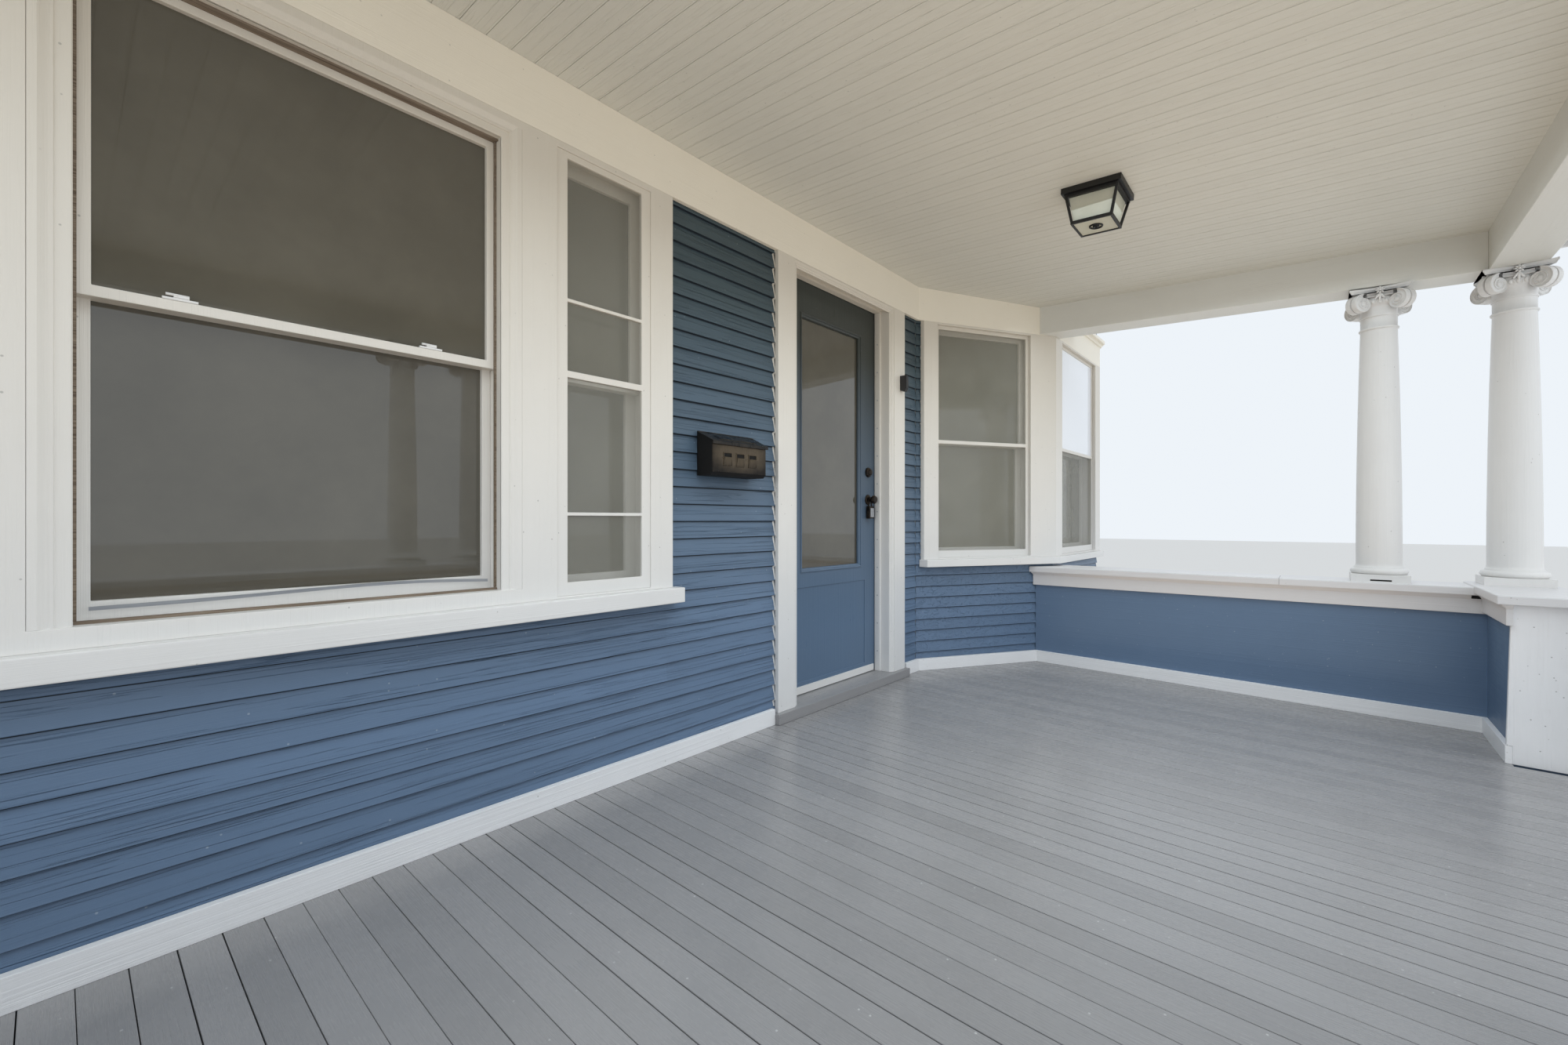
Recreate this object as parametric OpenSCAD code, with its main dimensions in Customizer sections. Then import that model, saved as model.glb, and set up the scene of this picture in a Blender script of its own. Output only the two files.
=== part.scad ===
// Front porch of an old timber house, seen from the street side at -Y.
// The ground is Z = 0 and the face of the house wall is Y = 0, with the middle of the porch at X = 0.

/* [Porch] */
// Clear length between the two end knee walls
clear_len = 6160; // [5900:20:6800]
// Clear depth from the house wall to the front knee walls
clear_depth = 2715; // [2400:5:3000]
// Height of the porch floor above the ground at the house wall
deck_z = 660; // [580:10:760]
// Fall of the floor towards the street over the clear depth
deck_fall = 50; // [10:5:70]
// Thickness of the floor boards
deck_t = 30; // [22:1:40]
// Height of the ceiling above the floor at the house wall
ceiling_h = 2590; // [2500:10:2750]
// Fall of the ceiling towards the street over the clear depth
ceiling_fall = 125; // [60:5:150]
// Thickness of the ceiling boards
ceiling_t = 20; // [14:1:30]

/* [House wall] */
// Thickness of the house walls
wall_t = 145; // [135:5:190]
// Length of house wall kept past the left end of the porch
wall_past = 150; // [100:10:400]
// Height of the foundation that shows above the ground
foundation_h = 480; // [400:10:520]
// Thickness of the foundation wall
foundation_t = 240; // [200:10:300]
// How far the foundation stands out from the wall above it
foundation_out = 45; // [20:5:80]
// Height of the white frieze board under the ceiling
frieze_h = 222; // [180:2:260]
// Thickness of the frieze board, casings and skirting boards
board_t = 22; // [16:1:28]
// Height of the skirting boards
skirting_h = 78; // [60:2:110]

/* [Front windows] */
// Middle of the wide window, left of the porch middle
window_x = -1093; // [-1150:1:-1040]
// Width of the wide window's sash opening
wide_w = 940; // [860:10:1000]
// Width of each narrow window's sash opening
narrow_w = 408; // [380:4:420]
// Distance from the wide window's middle to a narrow window's middle
narrow_pitch = 868; // [860:2:890]
// Width of the flat casing at each outer side of the group
side_casing = 91; // [80:1:120]
// Height of the sill's underside above the floor
sill_low = 674; // [600:2:720]
// Thickness of the window sill
sill_t = 62; // [44:1:80]
// How far the sill stands out from the wall
sill_out = 62; // [40:2:90]
// Height of the board between the wide window's head and the frieze
head_board = 78; // [70:2:100]
// Width of the wide window's sash stiles and rails
wide_sash_w = 28; // [24:1:40]
// Width of the other windows' sash stiles and rails
sash_w = 48; // [40:1:54]
// Thickness of a sash
sash_t = 35; // [28:1:40]
// Thickness of the glass
glass_t = 5; // [4:1:8]

/* [Bay] */
// Where the bay begins on the house wall, right of the porch middle
bay_x = 2210; // [2150:5:2300]
// How far the bay stands out from the house wall
bay_out = 580; // [480:5:640]
// Length of the bay's slanting side along the wall
bay_run = 1010; // [900:5:1100]
// Length of the bay's front
bay_front = 1200; // [1160:10:1400]
// Width of the sash opening in the bay's slanting sides
bay_side_w = 784; // [700:4:800]
// Width of the sash opening in the bay's front
bay_front_w = 920; // [760:10:960]
// Height of the bay's sash openings above the floor, at the bottom
bay_low = 758; // [700:2:800]

/* [Door] */
// Middle of the doorway, right of the porch middle
door_x = 1390; // [1330:5:1420]
// Width between the door jambs
door_w = 922; // [860:2:960]
// Height of the head board between the doorway and the frieze
door_board = 16; // [16:2:50]
// Thickness of the door sill board
door_sill_t = 52; // [40:1:70]
// Thickness of the door leaf
leaf_t = 44; // [38:1:50]
// Gap around the door leaf
leaf_gap = 6.5; // [6:0.5:8]
// Width of the door casing
door_casing = 133; // [110:1:145]

/* [Knee walls] */
// Thickness of the knee walls
knee_t = 210; // [200:5:260]
// Height of the knee walls' caps above the floor
cap_h = 680; // [580:5:720]
// Thickness of the cap board
cap_t = 28; // [24:1:40]
// How far the cap board overhangs each face of a wall
cap_over = 52; // [40:1:70]
// Height of the white band under the cap board
band_h = 72; // [50:2:100]
// Height of the moulding between the cap board and the band
cap_mould = 34; // [24:2:40]
// Width of the opening for the steps
step_w = 1900; // [1700:20:2000]
// Length of the front knee wall right of the steps, inside the porch
front_right = 530; // [450:10:600]
// Extra width of the tapered end boards at the floor, on each side
end_batter = 20; // [0:5:40]

/* [Steps] */
// Number of risers from the ground to the porch floor
risers = 4; // [3:1:5]
// Depth of each tread
tread_d = 290; // [260:5:330]
// Thickness of each tread
tread_t = 38; // [28:1:45]
// Thickness of the side boards that carry the treads
stringer_t = 45; // [35:1:60]
// Height of the handrail above the steps
rail_h = 860; // [760:10:920]
// Width of the flat handrail
rail_w = 44; // [32:2:50]

/* [Columns] */
// Diameter of a column shaft at the bottom
shaft_d = 190; // [160:2:200]
// Diameter of a column shaft at the neck
neck_d = 152; // [130:2:158]
// Spacing of a pair of columns
pair_pitch = 495; // [440:5:560]
// Width of the square plinth under a column
plinth_w = 236; // [230:2:260]
// Height of the plinth
plinth_h = 40; // [30:2:60]
// Height of the capital with its abacus
capital_h = 150; // [140:2:170]
// Width of the abacus across its corners' flats
abacus_w = 236; // [220:2:250]

/* [Beams and roof] */
// Width of the boxed beams
beam_w = 200; // [180:5:215]
// Drop of the beams below the ceiling
beam_drop = 195; // [150:5:230]
// Overhang of the eaves past the beams
eaves = 380; // [300:10:450]
// Pitch of the roof in degrees
roof_pitch = 13; // [11:0.5:16]
// Thickness of the roof
roof_t = 70; // [50:5:90]
// Height of the fascia board
fascia_h = 160; // [130:5:200]

/* [Fittings] */
// Height of the letter box above the floor
box_z = 1212; // [1100:4:1300]
// Width of the letter box
box_w = 340; // [300:5:400]
// Height of the letter box
box_h = 195; // [160:5:220]
// Depth of the letter box
box_d = 98; // [80:2:120]
// Width of the ceiling light's top plate
light_w = 250; // [210:4:280]
// Drop of the ceiling light below its plate
light_drop = 150; // [120:5:180]
// Height of the bell button above the floor
bell_z = 1840; // [1500:10:1900]
// Height of the bell button
bell_h = 105; // [80:5:120]
// Width of the bell button
bell_w = 46; // [30:2:52]
// Depth of the bell button
bell_d = 46; // [20:2:52]

/* [Hidden] */
$fn = 48;
half_len = clear_len / 2;
outer_x = half_len + knee_t;
outer_y = -clear_depth - knee_t;
knee_mid_x = half_len + knee_t / 2;
knee_mid_y = -clear_depth - knee_t / 2;
reach = 20000;
hair = 0.3;
film = 0.02;

// Heights that follow the slopes of the floor and the ceiling
function deck_at(y) = deck_z + y * deck_fall / clear_depth;
function ceiling_at(y) = deck_z + ceiling_h + y * ceiling_fall / clear_depth;
function beam_at(y) = ceiling_at(y) - beam_drop;

// Plan of the bay: corner i, moved out of the wall by t
bay_angle = atan2(bay_out, bay_run);
bay_side = sqrt(bay_out * bay_out + bay_run * bay_run);
function bay_corner_x(i) = bay_x + (i > 0 ? bay_run : 0) + (i > 1 ? bay_front : 0) + (i > 2 ? bay_run : 0);
function bay_corner(i, t) =
  [bay_corner_x(i) - (i < 2 ? 1 : -1) * t * tan(bay_angle / 2), (i == 1 || i == 2 ? -bay_out : 0) - t];
wall_x0 = -outer_x - wall_past;
wall_x1 = bay_corner_x(3) + wall_past;

// Doorway
door_head = ceiling_h - frieze_h - door_board;
leaf_back = wall_t - leaf_t;
jamb_t = 45;
rough_w = door_w + 2 * jamb_t;
casing_reveal = 34;
casing_edge = door_w / 2 + casing_reveal + door_casing;
sill_horn = 22;
stop_t = 12;
stop_d = 40;
seal_gap = 5;
sweep_h = 40;
sweep_t = 6;
leaf_low = deck_z + door_sill_t + 6;
leaf_high = deck_z + door_head - leaf_gap;
leaf_w = door_w - 2 * leaf_gap;
stile_w = 165;
light_low = 735;
top_rail = 190;
light_high = leaf_high - deck_z - top_rail;
panel_low = 120;
panel_high = 640;
panel_inset = 115;
panel_deep = 4;
lock_back = 78;
knob_h = 1145;
knob_r = 27;
knob_neck = knob_r * 0.41;
bolt_r = 31;
bolt_h = 1318;
pin_d = 12;
pin_x = door_x - door_w / 2;
pin_y = wall_t + pin_d / 2 + hair;
hinge_h = 100;
hinge_w = 38;
hinge_t = 3;
hinge_z = [for (f = [0.1, 0.5, 0.9]) leaf_low + f * (leaf_high - leaf_low)];

// Windows
lining_t = 22;
frieze_low = deck_z + ceiling_h - frieze_h;
sill_top = deck_z + sill_low + sill_t;
wide_rise = 48;
narrow_rise = 8;
narrow_up = 53;
wide_low = sill_top + wide_rise;
narrow_low = sill_top + narrow_rise;
wide_high = frieze_low - head_board;
narrow_high = wide_high + narrow_up;
cornice_h = 50;
cornice_out = 38;
staff_w = 65;
staff_head = 50;
staff_step = 8;
bay_sash_low = deck_z + bay_low;
bay_sash_high = frieze_low - 14;
group_half = narrow_pitch + narrow_w / 2 + lining_t + side_casing;
bay_window_s = 547;
sash_front = 36;
inner_front = 48;
storm_t = 18;
storm_w = 24;
fine_bar = 12;
narrow_side = 42;
bay_storm_y = 2;
meeting_h = 26;

// Roof
beam_top = deck_z + ceiling_h + ceiling_t + 10;
eave_x = knee_mid_x + beam_w / 2 + eaves;
eave_y = knee_mid_y - beam_w / 2 - eaves;
roof_edge = beam_top - eaves * tan(roof_pitch);
roof_rise = -eave_y * tan(roof_pitch);
wall_top = roof_edge + roof_t / cos(roof_pitch) + roof_rise + 60;
soffit_z = roof_edge - 50;

// Steps
step_x1 = half_len - front_right;
step_x0 = step_x1 - step_w;
rise = deck_at(outer_y) / risers;
riser_t = 20;
nosing = 25;
function tread_top(k) = deck_at(outer_y) - k * rise;
function tread_back(k) = outer_y - (k - 1) * tread_d;

// Columns
cap_z = deck_z + cap_h;
front_lift = 10;
knee_high = cap_z - cap_t;
front_beam_low = beam_at(knee_mid_y + beam_w / 2);
mid_x = step_x0 - 96;
column_spots = [
  [knee_mid_x, knee_mid_y],
  [knee_mid_x, knee_mid_y + pair_pitch],
  [-knee_mid_x, knee_mid_y],
  [-knee_mid_x, knee_mid_y + pair_pitch],
  [mid_x, knee_mid_y],
  [mid_x - pair_pitch, knee_mid_y]
];
function column_foot(p) = cap_z + (p[1] == knee_mid_y ? front_lift : 0);
function column_head(p) = p[1] == knee_mid_y ? front_beam_low : beam_at(p[1] - abacus_w / 2);

scroll_r = capital_h / 3;
scroll_turns = 2.25;
function scroll_at(a, r0) = r0 * pow(0.28, a / (360 * scroll_turns));

// Fittings
letter_x = 245;
letter_z = deck_z + box_z;
slot_low = letter_z + box_h / 2;
slot_h = 36;
lid_h = 46;
lid_y = -10;
function lid_rest(y) = letter_z + box_h + y * lid_h / box_d;
light_x = 1540;
light_y = -1298;

// A box between two corners
module box_span(x0, x1, y0, y1, z0, z1) {
  translate([x0, y0, z0])
    cube([x1 - x0, y1 - y0, z1 - z0]);
}

// A shape drawn in (Y, Z) and pushed along X from x0 to x1
module along_x(x0, x1) {
  translate([x0, 0, 0])
    rotate([90, 0, 90])
      linear_extrude(x1 - x0)
        children();
}

// A shape drawn in (X, Z) and pushed along Y from y0 to y1
module along_y(y0, y1) {
  translate([0, y1, 0])
    rotate([90, 0, 0])
      linear_extrude(y1 - y0)
        children();
}

// The house and its bay in plan, grown outwards by t
module bay_prism(t, z0, z1) {
  translate([0, 0, z0])
    linear_extrude(z1 - z0)
      polygon(concat(
        [[-reach, reach], [-reach, -t]],
        [for (i = [0:3]) bay_corner(i, t)],
        [[reach, -t], [reach, reach]]));
}

// A strip on the face of the house and bay, t thick, from x0 to x1
module face_strip(t, z0, z1, x0, x1) {
  intersection() {
    difference() {
      bay_prism(t, z0, z1);
      bay_prism(0, z0 - 1, z1 + 1);
    }
    box_span(x0, x1, -reach, reach, z0 - 1, z1 + 1);
  }
}

// All that lies under a plane parallel to the floor, lift above it
module below_deck(lift = 0) {
  along_x(-reach, reach)
    polygon([[0, -reach], [0, deck_z + lift], [-reach, deck_at(-reach) + lift], [-reach, -reach]]);
}

// All that lies over the ceiling's underside
module above_ceiling() {
  along_x(-reach, reach)
    polygon([[0, reach], [0, deck_z + ceiling_h], [-reach, ceiling_at(-reach)], [-reach, reach]]);
}

// Place a child on a face of the bay: 0 near side, 1 front, 2 far side
module on_bay(i) {
  p = bay_corner(i, 0);
  translate([p[0], p[1], 0])
    rotate([0, 0, (i - 1) * bay_angle])
      children();
}

function bay_middle(i) = i == 1 ? bay_front / 2 : (i == 0 ? bay_window_s : bay_side - bay_window_s);
function bay_width(i) = i == 1 ? bay_front_w : bay_side_w;

// A wall's hole for a window whose sash opening is w wide
module window_hole(x, w, z0, z1) {
  box_span(x - w / 2 - lining_t, x + w / 2 + lining_t, -1, wall_t + 1, z0 - lining_t, z1 + lining_t);
}

// The boxed lining of a window, a hair behind the casing that covers its edge
module window_lining(x, w, z0, z1) {
  difference() {
    box_span(x - w / 2 - lining_t, x + w / 2 + lining_t, hair, wall_t, z0 - lining_t, z1 + lining_t);
    box_span(x - w / 2, x + w / 2, -1, wall_t + 1, z0, z1);
  }
}

// A sash of outer size w by h with its glazing hole
module sash(w, h, stile, low_rail, high_rail, t) {
  difference() {
    cube([w, t, h]);
    translate([stile, -1, low_rail])
      cube([w - 2 * stile, t + 2, h - low_rail - high_rail]);
  }
}

// A pane that fills a sash's hole
module pane(w, h, stile, low_rail, high_rail, t) {
  translate([stile, (t - glass_t) / 2, low_rail])
    cube([w - 2 * stile, glass_t, h - low_rail - high_rail]);
}

// Both sashes of a double-hung window: the upper one stands in front
module hung_pair(x, w, z0, z1, y0, stile, glass) {
  half = (z1 - z0 + meeting_h) / 2;
  translate([x - w / 2, y0, z1 - half]) {
    if (glass)
      pane(w, half, stile, meeting_h, stile, sash_t);
    else
      sash(w, half, stile, meeting_h, stile, sash_t);
  }
  translate([x - w / 2, y0 + sash_t, z0]) {
    if (glass)
      pane(w, half, stile, stile + 18, meeting_h, sash_t);
    else
      sash(w, half, stile, stile + 18, meeting_h, sash_t);
  }
}

// The lights between two rails of a storm window, parted by a fine bar where bars is true
function lights(a, b, bars) =
  bars ? [[a, a + (b - a) / 3 - fine_bar / 2], [a + (b - a) / 3 + fine_bar / 2, b]] : [[a, b]];

// The storm window in front of the sashes
module storm_window(x, w, z0, z1, y0, side, bars, glass) {
  mid = (z0 + z1) / 2;
  holes = concat(lights(z0 + 2 * storm_w, mid - storm_w / 2, bars),
    lights(mid + storm_w / 2, z1 - storm_w, bars));
  if (glass) {
    for (h = holes)
      box_span(x - w / 2 + side, x + w / 2 - side, y0 + (storm_t - glass_t) / 2, y0 + (storm_t + glass_t) / 2,
        h[0], h[1]);
  } else {
    difference() {
      box_span(x - w / 2, x + w / 2, y0, y0 + storm_t, z0, z1);
      for (h = holes)
        box_span(x - w / 2 + side, x + w / 2 - side, y0 - 1, y0 + storm_t + 1, h[0], h[1]);
    }
  }
}

// House walls
module house_foundation() {
  color("dimgray")
    intersection() {
      difference() {
        bay_prism(foundation_out, 0, foundation_h);
        bay_prism(foundation_out - foundation_t, -1, foundation_h + 1);
      }
      box_span(wall_x0, wall_x1, -reach, reach, 0, foundation_h);
    }
}

module house_wall_left() {
  color("steelblue")
    difference() {
      box_span(wall_x0, door_x - rough_w / 2, 0, wall_t, foundation_h, wall_top);
      window_hole(window_x, wide_w, wide_low, wide_high);
      for (side = [-1, 1])
        window_hole(window_x + side * narrow_pitch, narrow_w, narrow_low, narrow_high);
    }
}

// A stretch of wall in plan between two points of the outer face
module plan_wall(points) {
  translate([0, 0, foundation_h])
    linear_extrude(wall_top - foundation_h)
      polygon(points);
}

module house_wall_right() {
  color("steelblue") {
    plan_wall([
      [door_x + rough_w / 2, 0], bay_corner(0, 0), bay_corner(0, -wall_t), [door_x + rough_w / 2, wall_t]
    ]);
    plan_wall([bay_corner(3, 0), [wall_x1, 0], [wall_x1, wall_t], bay_corner(3, -wall_t)]);
  }
}

module house_wall_at_door() {
  color("steelblue") {
    box_span(door_x - rough_w / 2, door_x + rough_w / 2, 0, wall_t, deck_z + door_head + jamb_t, wall_top);
    box_span(door_x - rough_w / 2, door_x + rough_w / 2, 0, wall_t, foundation_h, deck_z);
  }
}

module bay_wall(i) {
  color("steelblue")
    difference() {
      plan_wall([bay_corner(i, 0), bay_corner(i + 1, 0), bay_corner(i + 1, -wall_t), bay_corner(i, -wall_t)]);
      on_bay(i)
        window_hole(bay_middle(i), bay_width(i), bay_sash_low, bay_sash_high);
    }
}

module bay_wall_near() { bay_wall(0); }

module bay_wall_front() { bay_wall(1); }

module bay_wall_far() { bay_wall(2); }

// White boards on the walls
module wall_frieze() {
  top = deck_z + ceiling_h;
  color("white") {
    difference() {
      face_strip(board_t, frieze_low, top, wall_x0, wall_x1);
      above_ceiling();
    }
    face_strip(board_t + 14, top - cornice_h, top - cornice_h / 2, eave_x + 5, wall_x1);
    face_strip(board_t + cornice_out, top - cornice_h / 2, top, eave_x + 5, wall_x1);
  }
}

module wall_skirting() {
  reveal = door_x - casing_edge - sill_horn;
  color("white")
    difference() {
      intersection() {
        face_strip(board_t, 0, reach, -half_len, half_len);
        below_deck(skirting_h);
      }
      below_deck(film);
      box_span(reveal, 2 * door_x - reveal, -reach, 0, 0, reach);
    }
}

module front_window_frame() {
  color("white") {
    difference() {
      box_span(window_x - group_half, window_x + group_half, -board_t, 0, sill_top, frieze_low);
      box_span(window_x - wide_w / 2, window_x + wide_w / 2, -reach, 1, wide_low, wide_high);
      for (k = [1, 2]) {
        edge = wide_w / 2 + staff_w * k / 2;
        box_span(window_x - edge, window_x + edge, -reach, -staff_step * k + 2,
          wide_low, wide_high + staff_head * k / 2);
      }
      for (side = [-1, 1])
        translate([side * narrow_pitch, 0, 0])
          box_span(window_x - narrow_w / 2, window_x + narrow_w / 2, -reach, 1, narrow_low, narrow_high);
    }
    window_lining(window_x, wide_w, wide_low, wide_high);
    for (side = [-1, 1])
      window_lining(window_x + side * narrow_pitch, narrow_w, narrow_low, narrow_high);
  }
}

module bay_window_frames() {
  color("white") {
    difference() {
      face_strip(board_t, deck_z + bay_low - 10, frieze_low, bay_x + 30, bay_corner_x(3) - 30);
      for (i = [0:2])
        on_bay(i)
          box_span(bay_middle(i) - bay_width(i) / 2, bay_middle(i) + bay_width(i) / 2, -60, 60,
            bay_sash_low, bay_sash_high);
    }
    for (i = [0:2])
      on_bay(i)
        window_lining(bay_middle(i), bay_width(i), bay_sash_low, bay_sash_high);
  }
}

module window_sills() {
  color("white") {
    box_span(window_x - group_half - 33, window_x + group_half + 33, -sill_out, 0, deck_z + sill_low, sill_top);
    face_strip(sill_out - 8, deck_z + bay_low - 60, deck_z + bay_low - 10, bay_x + 20, bay_corner_x(3) - 20);
  }
}

module front_sash_set(glass) {
  hung_pair(window_x, wide_w, wide_low, wide_high, sash_front, wide_sash_w, glass);
  for (side = [-1, 1]) {
    x = window_x + side * narrow_pitch;
    storm_window(x, narrow_w, narrow_low, narrow_high, -storm_t, narrow_side, true, glass);
    hung_pair(x, narrow_w, narrow_low, narrow_high, inner_front, sash_w, glass);
  }
}

module bay_sash_set(glass) {
  for (i = [0:2])
    on_bay(i) {
      storm_window(bay_middle(i), bay_width(i), bay_sash_low, bay_sash_high, bay_storm_y, storm_w,
        false, glass);
      hung_pair(bay_middle(i), bay_width(i), bay_sash_low, bay_sash_high, inner_front, sash_w, glass);
    }
}

module window_sashes() {
  color("white") {
    front_sash_set(false);
    bay_sash_set(false);
  }
}

module window_glass() {
  color("darkslategray", 0.5) {
    front_sash_set(true);
    bay_sash_set(true);
  }
}

// Front door
module door_frame() {
  head = deck_z + door_head;
  color("white") {
    difference() {
      union() {
        box_span(door_x - casing_edge, door_x + casing_edge, -board_t, 0, deck_z + door_sill_t, frieze_low);
        box_span(door_x - rough_w / 2, door_x + rough_w / 2, 0, wall_t, deck_z + door_sill_t, head + jamb_t);
      }
      box_span(door_x - door_w / 2, door_x + door_w / 2, -1, wall_t + 1, 0, head);
      box_span(door_x - door_w / 2 - casing_reveal, door_x + door_w / 2 + casing_reveal, -reach, 0,
        0, head + 12);
    }
    difference() {
      box_span(door_x - door_w / 2, door_x + door_w / 2, leaf_back - seal_gap - stop_d, leaf_back - seal_gap,
        deck_z + door_sill_t, head);
      box_span(door_x - door_w / 2 + stop_t, door_x + door_w / 2 - stop_t, 0, wall_t,
        0, head - stop_t);
    }
  }
}

module door_sill() {
  color("gray") {
    box_span(door_x - casing_edge - sill_horn, door_x + casing_edge + sill_horn, -48, 0,
      deck_z, deck_z + door_sill_t);
    box_span(door_x - rough_w / 2, door_x + rough_w / 2, 0, wall_t, deck_z, deck_z + door_sill_t);
  }
}

module front_door() {
  x0 = door_x - leaf_w / 2;
  color("slategray")
    difference() {
      box_span(x0, x0 + leaf_w, leaf_back, leaf_back + leaf_t, leaf_low, leaf_high);
      box_span(x0 + stile_w, x0 + leaf_w - stile_w, 0, reach, deck_z + light_low, deck_z + light_high);
      for (y = [leaf_back - 1, leaf_back + leaf_t - panel_deep])
        box_span(x0 + panel_inset, x0 + leaf_w - panel_inset, y, y + panel_deep + 1,
          deck_z + panel_low, deck_z + panel_high);
    }
}

module door_glass() {
  x0 = door_x - leaf_w / 2;
  y = leaf_back + leaf_t / 2 - glass_t / 2;
  color("darkslategray", 0.5)
    box_span(x0 + stile_w, x0 + leaf_w - stile_w, y, y + glass_t, deck_z + light_low, deck_z + light_high);
}

module door_sweep() {
  x0 = door_x - leaf_w / 2 + stop_t + 6;
  color("white")
    box_span(x0, x0 + leaf_w - 2 * stop_t - 12, leaf_back - sweep_t, leaf_back, leaf_low, leaf_low + sweep_h);
}

// Knob and bolt on both faces, turned about the lock's axis, and the hinges on the inner face
module door_hardware() {
  x = door_x + leaf_w / 2 - lock_back;
  color("dimgray") {
    for (side = [-1, 1]) {
      face = side < 0 ? leaf_back : wall_t;
      translate([x, face, deck_z + knob_h])
        rotate([-side * 90, 0, 0])
          rotate_extrude()
            polygon(knob_r * [[0, 0], [1.19, 0], [1.19, 0.19], [0.96, 0.3], [0.41, 0.33], [0.41, 0.96],
              [0.67, 1.19], [0.96, 1.48], [1, 1.85], [0.81, 2.15], [0, 2.26]]);
      translate([x, face, deck_z + bolt_h])
        rotate([-side * 90, 0, 0])
          rotate_extrude()
            polygon(bolt_r * [[0, 0], [1, 0], [1, 0.19], [0.87, 0.45], [0.65, 0.52], [0.58, 0.77], [0, 0.77]]);
    }
    for (z = hinge_z)
      translate([pin_x, 0, z - hinge_h / 2]) {
        translate([0, pin_y, 0])
          cylinder(d = pin_d, h = hinge_h);
        translate([0, wall_t + hair, 0])
          cube([leaf_gap, hinge_t - hair, hinge_h]);
        translate([leaf_gap, wall_t, 0])
          cube([hinge_w, hinge_t, hinge_h]);
      }
  }
}

// Key box that hangs on the knob's neck by its shackle
module key_box() {
  loop_r = knob_neck + 1;
  bar = 7;
  drop = 40;
  color("dimgray")
    translate([door_x + leaf_w / 2 - lock_back, leaf_back - 17, deck_z + knob_h - 0.7]) {
      rotate([90, 0, 0])
        difference() {
          cylinder(r = loop_r + bar, h = 6, center = true);
          cylinder(r = loop_r, h = 8, center = true);
          translate([-30, -60, -10])
            cube([60, 60, 20]);
        }
      for (side = [-1, 1])
        translate([side * (loop_r + bar / 2) - bar / 2, -3, -drop])
          cube([bar, 6, drop]);
      translate([-26, -14, -drop - 78])
        cube([52, 24, 78]);
    }
}

// Letter box on the wall, left of the door
module letter_box() {
  color("saddlebrown")
    difference() {
      along_x(letter_x, letter_x + box_w)
        polygon([[0, letter_z], [0, lid_rest(0)], [-box_d, lid_rest(-box_d)],
          [-box_d, letter_z + 14], [-box_d + 14, letter_z]]);
      along_x(letter_x + 4, letter_x + box_w - 4)
        polygon([[-4, letter_z + 4], [-4, letter_z + box_h + 40], [-box_d + 4, letter_z + box_h + 40],
          [-box_d + 4, letter_z + 16], [-box_d + 16, letter_z + 4]]);
      for (k = [-1, 0, 1])
        box_span(letter_x + box_w / 2 + k * 62 - 20, letter_x + box_w / 2 + k * 62 + 20, -box_d - 5, -box_d + 5,
          slot_low, slot_low + slot_h);
    }
}

// Lid that lies on the box and turns about a rolled edge at its back
module letter_box_lid() {
  sheet = 3;
  front = -box_d - 8;
  color("black")
    along_x(letter_x - 6, letter_x + box_w + 6) {
      polygon([[lid_y, lid_rest(lid_y) + hair], [lid_y, lid_rest(lid_y) + hair + sheet],
        [front - sheet, lid_rest(front - sheet) + hair + sheet], [front - sheet, lid_rest(front) - 12],
        [front, lid_rest(front) - 12], [front, lid_rest(front) + hair]]);
      translate([lid_y, lid_rest(lid_y) + hair + sheet])
        circle(r = sheet * 0.8);
    }
}

module door_bell() {
  x = door_x + casing_edge - bell_w - 16;
  color("black")
    box_span(x, x + bell_w, -board_t - bell_d, -board_t, deck_z + bell_z, deck_z + bell_z + bell_h);
}

// Porch base and floor
module porch_foundation() {
  color("dimgray")
    difference() {
      box_span(-outer_x, outer_x, outer_y, 0, 0, foundation_h);
      box_span(-half_len, half_len, -clear_depth, 1, -1, foundation_h + 1);
      bay_prism(foundation_out, -1, foundation_h + 1);
    }
}

module floor_deck() {
  front = outer_y - riser_t - nosing;
  color("gray")
    difference() {
      intersection() {
        along_x(-reach, reach)
          polygon([[0, deck_z - deck_t], [0, deck_z], [front, deck_at(front)],
            [front, deck_at(front) - deck_t]]);
        union() {
          box_span(-half_len, half_len, -clear_depth, 0, 0, reach);
          box_span(step_x0, step_x1, front, -clear_depth + 1, 0, reach);
        }
      }
      bay_prism(0, 0, reach);
    }
}

module knee_wall_right() {
  color("steelblue")
    difference() {
      box_span(half_len, outer_x, outer_y, 0, foundation_h, knee_high);
      bay_prism(0, 0, reach);
    }
}

module knee_wall_left() {
  color("steelblue")
    box_span(-outer_x, -half_len, outer_y, 0, foundation_h, knee_high);
}

module front_knee_walls() {
  color("steelblue") {
    box_span(step_x1 + board_t, half_len, outer_y, -clear_depth, foundation_h, knee_high + front_lift);
    box_span(-half_len, step_x0 - board_t, outer_y, -clear_depth, foundation_h, knee_high + front_lift);
  }
}

// Half section of a cap over a knee wall, out from the wall's face at x = 0
function cap_edge(top) = [
  [0, top], [cap_over - 4, top], [cap_over, top - 4], [cap_over, top - cap_t],
  [board_t + 16, top - cap_t], [board_t + 14, top - cap_t - cap_mould / 3],
  [board_t + 6, top - cap_t - cap_mould * 2 / 3], [board_t, top - cap_t - cap_mould],
  [board_t, top - cap_t - cap_mould - band_h], [0, top - cap_t - cap_mould - band_h]
];

module cap_profile(a, b, top) {
  translate([b, 0])
    polygon(cap_edge(top));
  mirror([1, 0])
    translate([-a, 0])
      polygon(cap_edge(top));
  translate([a, top - cap_t - cap_mould - band_h])
    square([b - a, cap_t + cap_mould + band_h]);
}

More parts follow.
